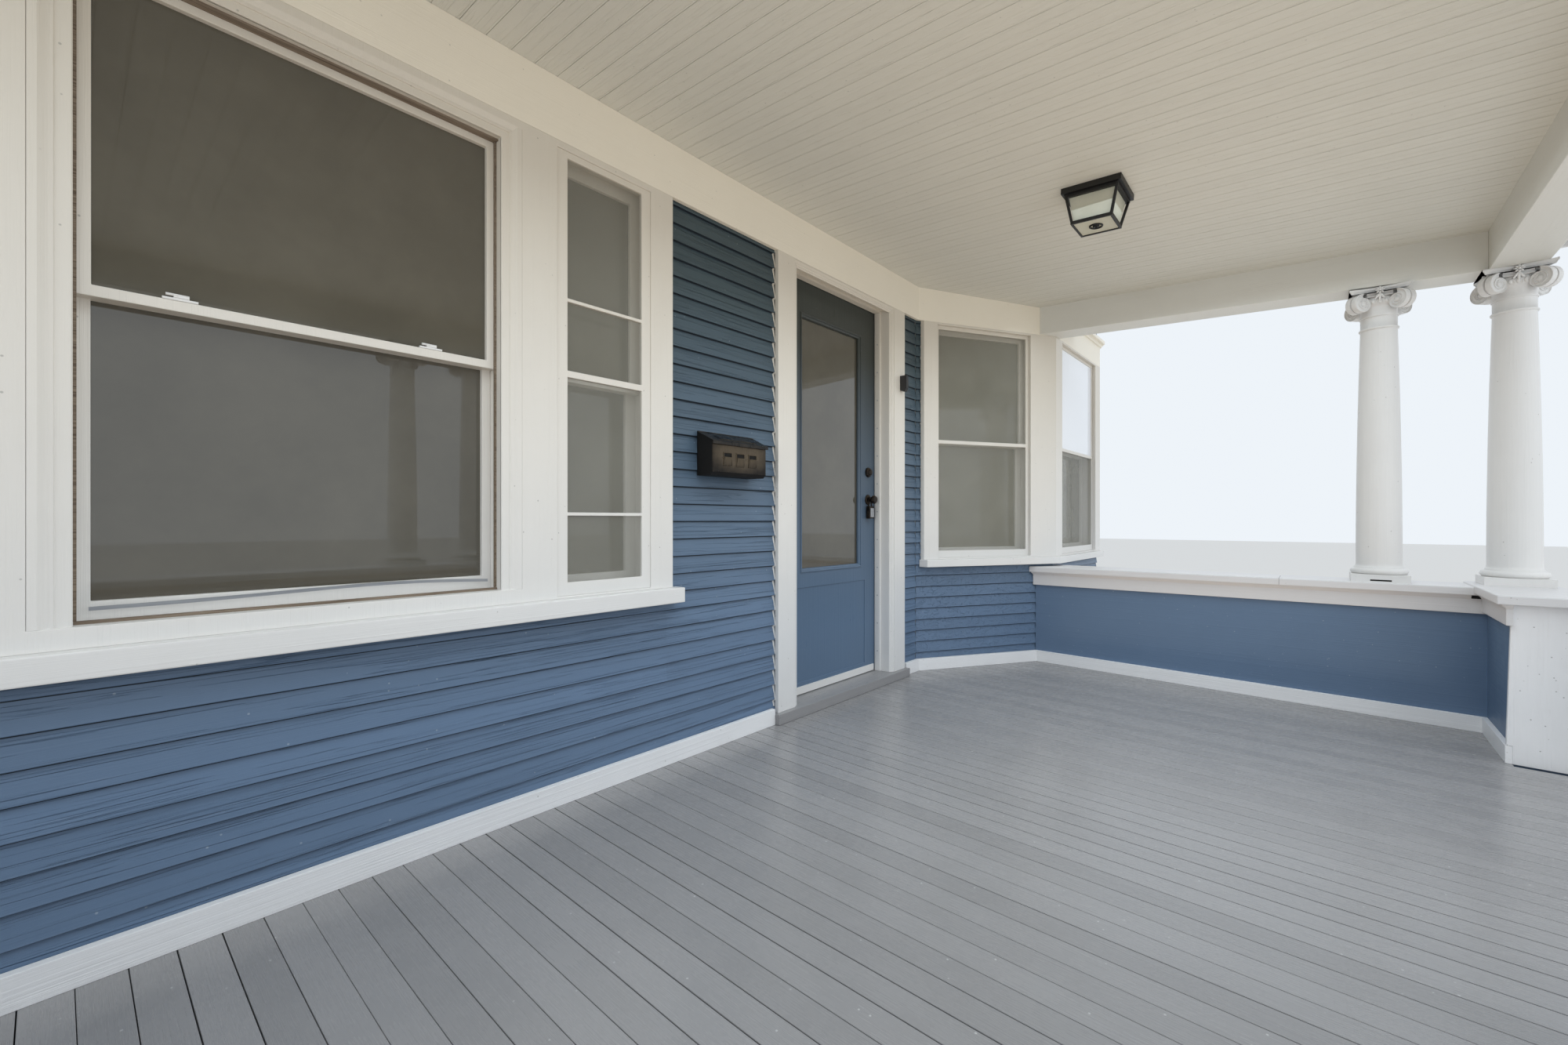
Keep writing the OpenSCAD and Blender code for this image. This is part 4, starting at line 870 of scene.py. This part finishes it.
add_box(shape, low.x + 0.026, high.x - 0.001, back - 0.012, back, low.z + 0.030, high.z - 0.012)
make_piece("bell_housing", shape, [black_resin], "black_plastic", ["door_bell"])


# The porch floor: narrow pine boards laid from the house to the street with a little fall,
# painted grey; the joints have opened in places and filled with paint in others.
deck_paint = paint("deck_paint", deck_colour, grain_y, (0.62, 0.62, 0.62, 1), 0.3, 0.25, 0.6, 0.07, 0.27,
                   0.0006, tone=True)
floor_half, floor_depth, nose = 3.080, 2.715, -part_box("floor_deck")[0].y
deck_z, deck_slope = 0.66, 0.050 / floor_depth
board_wide, board_deep = 0.080, 0.030
step_x0, step_x1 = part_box("step_treads")[0].x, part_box("step_treads")[1].x


def house_line(x):
    for (ax, ay), (bx, by) in zip(bay_plan, bay_plan[1:]):
        if ax < x <= bx:
            return ay + (by - ay) * (x - ax) / (bx - ax)
    return 0.0


half_board = board_wide / 2
outline = [(-half_board, -board_deep), (half_board, -board_deep), (half_board, -0.006),
           (half_board - 0.0003, -0.0008), (half_board - 0.0012, 0.0), (-half_board + 0.0012, 0.0),
           (-half_board + 0.0003, -0.0008), (-half_board, -0.006)]
one = bmesh.new()
add_prism(one, outline, "y", 0.0, 1.0, 13)
count = round(2 * floor_half / board_wide)
shape = bmesh.new()
shape.from_mesh(grow(one, count, (board_wide, 0, 0), (0.960, 1, 1), (1.0, 1, 1), 0.0008, 5.0, 7, deck_paint))
for vertex in shape.verts:
    board = clamp(round(vertex.co.x / board_wide), 0, count - 1)
    middle = -floor_half + half_board + board * board_wide
    x = clamp(vertex.co.x - floor_half + half_board, -floor_half, floor_half)
    front = -nose if step_x0 < middle < step_x1 else -floor_depth
    y = front + clamp(vertex.co.y, 0.0, 1.0) * (house_line(x) - front)
    vertex.co = (x, y, deck_z + deck_slope * y + min(vertex.co.z, 0.0))
make_piece("floor_boards", shape, [deck_paint], "floor_grey", ["floor_deck"])


# Knee walls: smooth boarded walls in the siding colour with a moulded white cap,
# skirtings and tapered end boards.
knee_y = paint("knee_paint_deep", siding_colour, grain_y, (0.5, 0.55, 0.6, 1), 0.6, 0.2, 0.5, 0.06, 0.45)
knee_x = paint("knee_paint_level", siding_colour, grain_x, (0.5, 0.55, 0.6, 1), 0.6, 0.2, 0.5, 0.06, 0.45)
# cap_paint is a greyer white than the other trim: painted shade that keeps the cap tops from looking
# over-lit.
cap_paint = paint("cap_paint", (0.67, 0.66, 0.665), grain_y)
dress("knee_wall_right", knee_y)
dress("knee_wall_left", knee_y)
dress("front_knee_walls", knee_x)
end_cap_top, front_cap_top = 1.340, 1.350
nosing_in_solid, cove_in_solid, nosing_seen = 0.028, 0.034, 0.040
cove_seen = nosing_in_solid + cove_in_solid - nosing_seen
shape = cad_copy("knee_wall_caps")
for vertex in shape.verts:
    for cap_top in (end_cap_top, front_cap_top):
        for third in range(3):
            if abs(cap_top - nosing_in_solid - cove_in_solid * third / 3 - vertex.co.z) < 0.0004:
                vertex.co.z = cap_top - nosing_seen - cove_seen * third / 3
                break
round_edges(shape, 0.003)
for face in shape.faces:
    face.material_index = 0
# A thin near-black strip at a butt joint in the nosing and a small near-black block at an opened mitre under
# it: painted shadow in the crack and in the gap.
joint_y, open_mitre_y, cap_edge_x = -1.897, -2.672, 3.028
add_box(shape, cap_edge_x - 0.0003, cap_edge_x + 0.2, joint_y - 0.0006, joint_y + 0.0006,
        end_cap_top - 0.038, end_cap_top + 0.0003, 1)
add_box(shape, cap_edge_x + 0.010, cap_edge_x + 0.034, open_mitre_y - 0.016, open_mitre_y + 0.016,
        end_cap_top - 0.058, end_cap_top - 0.042, 1)
make_piece("cap_boards", shape, [cap_paint, painted_shade_black], "trim_white", ["knee_wall_caps"])
cad_piece("porch_skirting_boards", "porch_skirting", 0.002, painted_light_white_y)
cad_piece("tapered_end_boards", "end_boards", 0.002, painted_light_white_z)


# The steps: grey painted treads and risers on cut stringers, with two iron handrails.
# The stringers, risers and rails keep the shape of the solids.
cad_piece("tread_boards", "step_treads", 0.006, deck_x, "floor_grey")
dress("step_risers", deck_x)
dress("step_stringers", deck_x)
dress("handrails", cloudy_material("black_iron", (160.0, 3.0), [(0.018, 0.018, 0.019)],
                                   (0.3, 0.7, 0.32, 0.5), 0.0004))


# The columns: turned and glued pine shafts with a slight swelling, on square plinths.
# One plinth on the right has an open slot in its inner face, drawn as a thin near-black box: painted shade
# inside the slot.
shape = cad_copy("columns")
slot_x, slot_y, slot_z = 3.067, -2.3275, 1.350
add_box(shape, slot_x - 0.0004, slot_x + 0.002, slot_y - 0.0425, slot_y + 0.0425, slot_z - 0.0042,
        slot_z + 0.0042, 1)
make_piece("turned_columns", shape, [white_z, painted_shade_black], "trim_white", ["columns"], smooth_angle=32)


# The capitals: cast and carved, with two spirals at each corner set in a V, a row of eggs
# between them, a flower on each side and a hollow-sided slab on top, all under thick paint.
capital_high, neck_r = 0.150, 0.076
spiral_r, spiral_keep, spiral_turns = 0.058, 0.58, 2.4
spiral_z = capital_high - 0.024 - spiral_r
spiral_turn = math.radians(43)
corner_out, corner_half = 0.170, 0.020
egg_turn = math.radians(17)
band_section = [(0.0, 0.000), (0.02, 0.0075), (0.07, 0.0092), (0.17, 0.0092), (0.24, 0.0055), (0.42, 0.0030),
                (0.70, 0.0030), (0.90, 0.0046), (1.0, 0.0056)]


def spiral_face(shape, centre, outward, normal):
    def swirl(angle, r, lift):
        turn = outward * math.sin(angle) + Vector((0, 0, math.cos(angle)))
        return shape.verts.new(centre + turn * r + normal * lift)

    steps = round(24 * spiral_turns)
    strips = []
    for step in range(steps + 1):
        angle = math.tau * step / 24
        rim = spiral_r * spiral_keep ** (step / 24)
        fall = 1 - 0.35 * step / steps
        strips.append([swirl(angle, rim * (1 - part * (1 - spiral_keep)), lift * fall + 0.0045 * step / steps)
                       for part, lift in band_section])
    bridge(shape, strips, closed=False, caps=False)
    eye_r = spiral_r * spiral_keep ** spiral_turns * 1.05
    eye = []
    for level in range(3):
        tilt = math.pi / 2 * level / 3
        eye.append([swirl(math.tau * step / 12, eye_r * math.cos(tilt), 0.0035 + 0.0085 * math.sin(tilt))
                    for step in range(12)])
    bridge(shape, eye, caps=False)
    shape.faces.new(eye[-1])
    front = [strip[0] for strip in strips[:25]]
    back = [shape.verts.new(vertex.co - normal * (0.020 - 0.004 * math.sin(math.tau * step / 24)))
            for step, vertex in enumerate(front)]
    bridge(shape, [front, back], closed=False, caps=False)
    hub = shape.verts.new(centre - normal * 0.018)
    for first, second in zip(back, back[1:]):
        shape.faces.new((first, second, hub))


def bulge(shape, centre, radii, turn=Matrix.Identity(4), around=10, rings=6):
    bmesh.ops.create_uvsphere(shape, u_segments=around, v_segments=rings, radius=1.0,
                              matrix=Matrix.Translation(centre) @ turn @ Matrix.Diagonal((*radii, 1)))


slab_mid, slab_corner, slab_half = 0.096, 0.122, 0.124


def slab_ring(shape, scale, z):
    ring = []
    for side in range(4):
        for step in range(9):
            t = -1 + 2 * step / 8
            deep = slab_mid + (slab_corner - slab_mid) * t * t
            spot = Vector((deep * scale, slab_half * t * scale, z))
            ring.append(shape.verts.new(Matrix.Rotation(math.pi / 2 * side, 4, "Z") @ spot))
    return ring


capital = bmesh.new()
profile = [(0.0, neck_r + 0.004), (0.006, neck_r + 0.005), (0.014, neck_r + 0.001), (0.046, neck_r + 0.001),
           (0.060, neck_r + 0.002), (0.066, neck_r + 0.010), (0.086, neck_r + 0.013), (0.098, neck_r + 0.008),
           (0.104, neck_r + 0.003), (0.128, neck_r + 0.004)]
bridge(capital, [[capital.verts.new((r * math.cos(math.tau * k / 40), r * math.sin(math.tau * k / 40), z))
                  for k in range(40)] for z, r in profile])
bridge(capital, [slab_ring(capital, scale, z) for scale, z in
                 ((0.90, 0.124), (0.93, 0.1255), (0.955, 0.130), (0.962, 0.1345), (0.975, 0.1355),
                  (0.995, 0.1385), (1.0, 0.140), (1.0, 0.150))])
for side in range(4):
    quarter = Matrix.Rotation(math.pi / 2 * side, 4, "Z")
    for hand in (-1, 1):
        tip = Vector(((corner_out + corner_half) / math.sqrt(2),
                      hand * (corner_out - corner_half) / math.sqrt(2), spiral_z))
        outward = Vector((math.sin(spiral_turn), hand * math.cos(spiral_turn), 0))
        normal = Vector((math.cos(spiral_turn), -hand * math.sin(spiral_turn), 0))
        centre = tip - outward * spiral_r * spiral_keep ** 0.25
        spiral_face(capital, quarter @ centre, quarter @ outward, quarter @ normal)
    drum = quarter @ Matrix.Rotation(math.pi / 4, 4, "Z") @ Matrix.Translation((0.119, 0, spiral_z - 0.001))
    drum = drum @ Matrix.Rotation(math.pi / 2, 4, "X")
    bmesh.ops.create_cone(capital, cap_ends=True, segments=28, radius1=0.040, radius2=0.040,
                          depth=0.030, matrix=drum)
    for half_step in range(-4, 5):
        turn = quarter @ Matrix.Rotation(egg_turn / 2 * half_step, 4, "Z")
        if half_step % 2 == 0:
            bulge(capital, turn @ Vector((neck_r + 0.011, 0, 0.078)), (0.0085, 0.0085, 0.0135), turn)
        else:
            bulge(capital, turn @ Vector((neck_r + 0.010, 0, 0.076)), (0.0060, 0.0022, 0.0125), turn, 6, 5)
    for out, z0, z1 in ((0.013, 0.104, 0.108), (0.013, 0.119, 0.125), (0.007, 0.108, 0.119)):
        add_box(capital, neck_r - 0.002, neck_r + out, -0.052, 0.052, z0, z1, 0, quarter)
    heart = Vector((0.1035, 0, 0.132))
    for k in range(8):
        angle = math.pi / 4 * k
        spot = heart + Vector((0.0015, 0.0125 * math.sin(angle), 0.0125 * math.cos(angle)))
        bulge(capital, quarter @ spot, (0.0055, 0.0050, 0.0078), quarter @ Matrix.Rotation(-angle, 4, "X"),
              8, 5)
    bulge(capital, quarter @ (heart + Vector((0.004, 0, 0))), (0.0065, 0.0068, 0.0068), quarter)
    for angle, long in ((-0.55, 0.019), (0.0, 0.026), (0.55, 0.019)):
        spot = Vector((0.0955, 0.017 * math.sin(angle), 0.112 - 0.010 * math.cos(angle)))
        bulge(capital, quarter @ spot, (0.0065, 0.0062, long), quarter @ Matrix.Rotation(angle, 4, "X"),
              8, 6)
carved = bpy.data.meshes.new("one_capital")
bmesh.ops.recalc_face_normals(capital, faces=capital.faces[:])
capital.to_mesh(carved)
capital.free()
shape = bmesh.new()
heads = [vertex.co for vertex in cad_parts["column_capitals"].data.vertices]
front_y, back_y, pair_apart = -2.820, -2.325, 0.495
half_x, mid_x = 3.185, step_x0 - 0.096
for x, y in ((half_x, front_y), (half_x, back_y), (-half_x, front_y), (-half_x, back_y),
             (mid_x, front_y), (mid_x - pair_apart, front_y)):
    head = max(spot.z for spot in heads if abs(spot.x - x) < 0.15 and abs(spot.y - y) < 0.15)
    one = bmesh.new()
    one.from_mesh(carved)
    one.transform(Matrix.Translation((x, y, head - capital_high)))
    absorb(shape, one)
make_piece("carved_capitals", shape, [white_z], "trim_white", ["column_capitals"], smooth_angle=52)


# Boxed beams and the beaded ceiling, which follow the fall of the roof,
# and the black lantern with seeded glass that hangs from it.
# beam_white is darker and warmer than the other white paint: painted shade, and painted warm light bounced up
# under the roof.
beam_white = (0.71, 0.70, 0.65)
beam_x = paint("beam_paint", beam_white, grain_x, specks=0.3, sheen=0.42)
beam_y = paint("beam_paint_deep", beam_white, grain_y, specks=0.3, sheen=0.42)
# The ceiling paint is darker and warmer than the other white paint: painted shade, and painted warm light
# bounced up from below.
ceiling_paint = paint("ceiling_paint", (0.65, 0.642, 0.585), grain_y, brush=0.4, flakes=0.7, specks=0.4,
                      mottle=0.010, sheen=0.5, relief=0.0009, tone=True)
cad_piece("front_beam_boards", "front_beam", 0.003, beam_x)
cad_piece("end_beam_boards", "end_beams", 0.003, beam_y)
ceiling_z, ceiling_slope = 3.25, 0.125 / floor_depth
bead_wide, bead_deep = 0.083, 0.020
room_x, room_y = 3.085, 2.720
half_bead = bead_wide / 2
outline = [(-half_bead, bead_deep), (half_bead, bead_deep), (half_bead, 0.0022), (half_bead - 0.0008, 0.0018),
           (half_bead - 0.0014, 0.0003), (half_bead - 0.004, 0.0), (half_bead - 0.0065, 0.0004),
           (half_bead - 0.0075, 0.0012), (half_bead - 0.0085, 0.0002), (half_bead - 0.010, 0.0),
           (0.0018, 0.0), (0.0008, 0.0008), (-0.0002, 0.0), (-half_bead, 0.0)]
one = bmesh.new()
add_prism(one, outline, "y", 0.0, 1.0, 5)
count = math.ceil(2 * room_x / bead_wide)
shape = bmesh.new()
shape.from_mesh(grow(one, count, (bead_wide, 0, 0), (0.996, 1, 1), (1.0, 1, 1), 0.0004, 3.0, 17,
                     ceiling_paint))
for vertex in shape.verts:
    x = clamp(vertex.co.x - room_x + half_bead, -room_x, room_x)
    y = -room_y + clamp(vertex.co.y, 0.0, 1.0) * (house_line(x) + room_y)
    vertex.co = (x, y, ceiling_z + ceiling_slope * y + max(vertex.co.z, 0.0))
make_piece("ceiling_boards", shape, [ceiling_paint], "ceiling_white", ["porch_ceiling"])

seeded_glass, tree = new_material("seeded_glass")
place = place_of(tree)
seeds = add_node(tree, "ShaderNodeTexVoronoi", {"Vector": place, "Scale": 110.0}).outputs["Distance"]
haze = speckle(tree, place, 9.0, 3.0)
close_material(tree, mix_colour(tree, haze, (0.52, 0.515, 0.41, 1), (0.66, 0.655, 0.55, 1)),
               fade(tree, seeds, 0.1, 0.6, 0.32, 0.5), seeds, 0.0002, Transmission_Weight=0.1)
dress("light_glass", seeded_glass)
deep_black = cloudy_material("lantern_black", (240.0, 3.0), [(0.008, 0.0075, 0.007)],
                             (0.3, 0.7, 0.38, 0.55), 0.0002)
low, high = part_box("light_frame")
lamp_y, lamp_slope = -1.298, 0.04604
shape = cad_copy("light_frame", 0.0012)
tilt = Matrix.Translation(((low.x + high.x) / 2, lamp_y, ceiling_z + lamp_slope * lamp_y))
tilt = tilt @ Matrix.Rotation(math.atan(lamp_slope), 4, "X")
plate_half, pane_half, ring_level = 0.112, 0.0785, -0.156
add_box(shape, -plate_half, plate_half, -plate_half, plate_half, -0.040, -0.026, 0, tilt)
add_box(shape, -pane_half, pane_half, -pane_half, pane_half, -0.154, -0.151, 1, tilt)
for ring_r, bar_r in ((0.026, 0.0045), (0.009, 0.006)):
    loops = []
    for step in range(24):
        angle = math.tau * step / 24
        loop = []
        for k in range(8):
            out = ring_r + bar_r * math.cos(math.tau * k / 8)
            spot = Vector((out * math.cos(angle), out * math.sin(angle),
                           ring_level + bar_r * math.sin(math.tau * k / 8)))
            loop.append(shape.verts.new(tilt @ spot))
        loops.append(loop)
    bridge(shape, loops + loops[:1], caps=False)
make_piece("lantern_frame", shape, [deep_black, seeded_glass], "black_metal", ["light_frame"])


# Roof: felt shingles with mineral grit, nailed in lapped courses on a hipped board deck,
# over white fascia and soffit boards.
shingle, tree = new_material("roof_shingle")
place = place_of(tree)
grit = speckle(tree, place, 380.0, 3.0, 0.7)
cloud = speckle(tree, place, 5.0, 4.0)
felt = mix_colour(tree, fade(tree, grit, 0.3, 0.7), (0.10, 0.095, 0.09, 1), (0.23, 0.22, 0.21, 1))
felt = mix_colour(tree, fade(tree, cloud, 0.3, 0.7, 0.0, 0.5), felt, (0.16, 0.13, 0.11, 1))
tone = add_node(tree, "ShaderNodeAttribute", attribute_name="tone").outputs["Fac"]
felt = mix_colour(tree, fade(tree, tone, -1.0, 1.0, 0.0, 0.55), felt, (0.085, 0.080, 0.078, 1))
close_material(tree, felt, 0.95, grit, 0.002)
roof_core = cad_copy("porch_roof")
roof_core.normal_update()
shape = bmesh.new()
slopes = [face for face in roof_core.faces if 0.2 < face.normal.z < 0.999 and face.calc_area() > 1.5]
shingle_high, shingle_wide, shingle_thick, shingle_gap = 0.142, 0.305, 0.006, 0.004
let_in = shingle_thick + 0.0015
section = [(-0.003, 0.0004), (-0.003, shingle_thick), (shingle_high + 0.02, 0.0002),
           (shingle_high + 0.02, 0.0)]
seed = 60
for face in slopes:
    normal = face.normal.copy()
    level = Vector((0, 0, 1)).cross(normal).normalized()
    climb = normal.cross(level).normalized()
    corners = [vertex.co.copy() for vertex in face.verts]
    origin = min(corners, key=lambda spot: spot.z)
    left = min((spot - origin).dot(level) for spot in corners)
    right = max((spot - origin).dot(level) for spot in corners)
    height = max((spot - origin).dot(climb) for spot in corners)
    count = math.ceil((right - left) / shingle_wide) + 2
    part = bmesh.new()
    for course_no in range(math.ceil(height / shingle_high)):
        one = bmesh.new()
        add_prism(one, section, "x", 0.0, shingle_wide - shingle_gap)
        seed += 1
        row = grow(one, count, (shingle_wide, 0, 0), (1, 0.985, 0.9), (1, 1.0, 1.0), 0.0, 1.0, seed, shingle)
        slip = left - (course_no % 2) * shingle_wide / 2 - shingle_wide * 0.3
        row.transform(Matrix.Translation((slip, course_no * shingle_high, 0.0)))
        part.from_mesh(row)
        bpy.data.meshes.remove(row)
    slope_place = Matrix((level, climb, normal)).transposed().to_4x4()
    slope_place.translation = origin - normal * let_in
    part.transform(slope_place)
    for first, second in zip(corners, corners[1:] + corners[:1]):
        outward = (second - first).normalized().cross(normal)
        if outward.dot(face.calc_center_median() - first) > 0:
            outward = -outward
        trim(part, first, outward)
    absorb(shape, part)
slope_cosine = 0.97
for vertex in {vertex for face in slopes for vertex in face.verts}:
    vertex.co.z -= let_in / slope_cosine
absorb(shape, roof_core)
make_piece("roof_shingles", shape, [shingle], "roof_shingle", ["porch_roof"])
shape = cad_copy("eaves_boards")
eaves_top, eaves_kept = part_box("eaves_boards")[1].z, 0.36
for vertex in shape.verts:
    vertex.co.z = eaves_top - (eaves_top - vertex.co.z) * eaves_kept
make_piece("eaves_trim", shape, [white_x], "trim_white", ["eaves_boards"])
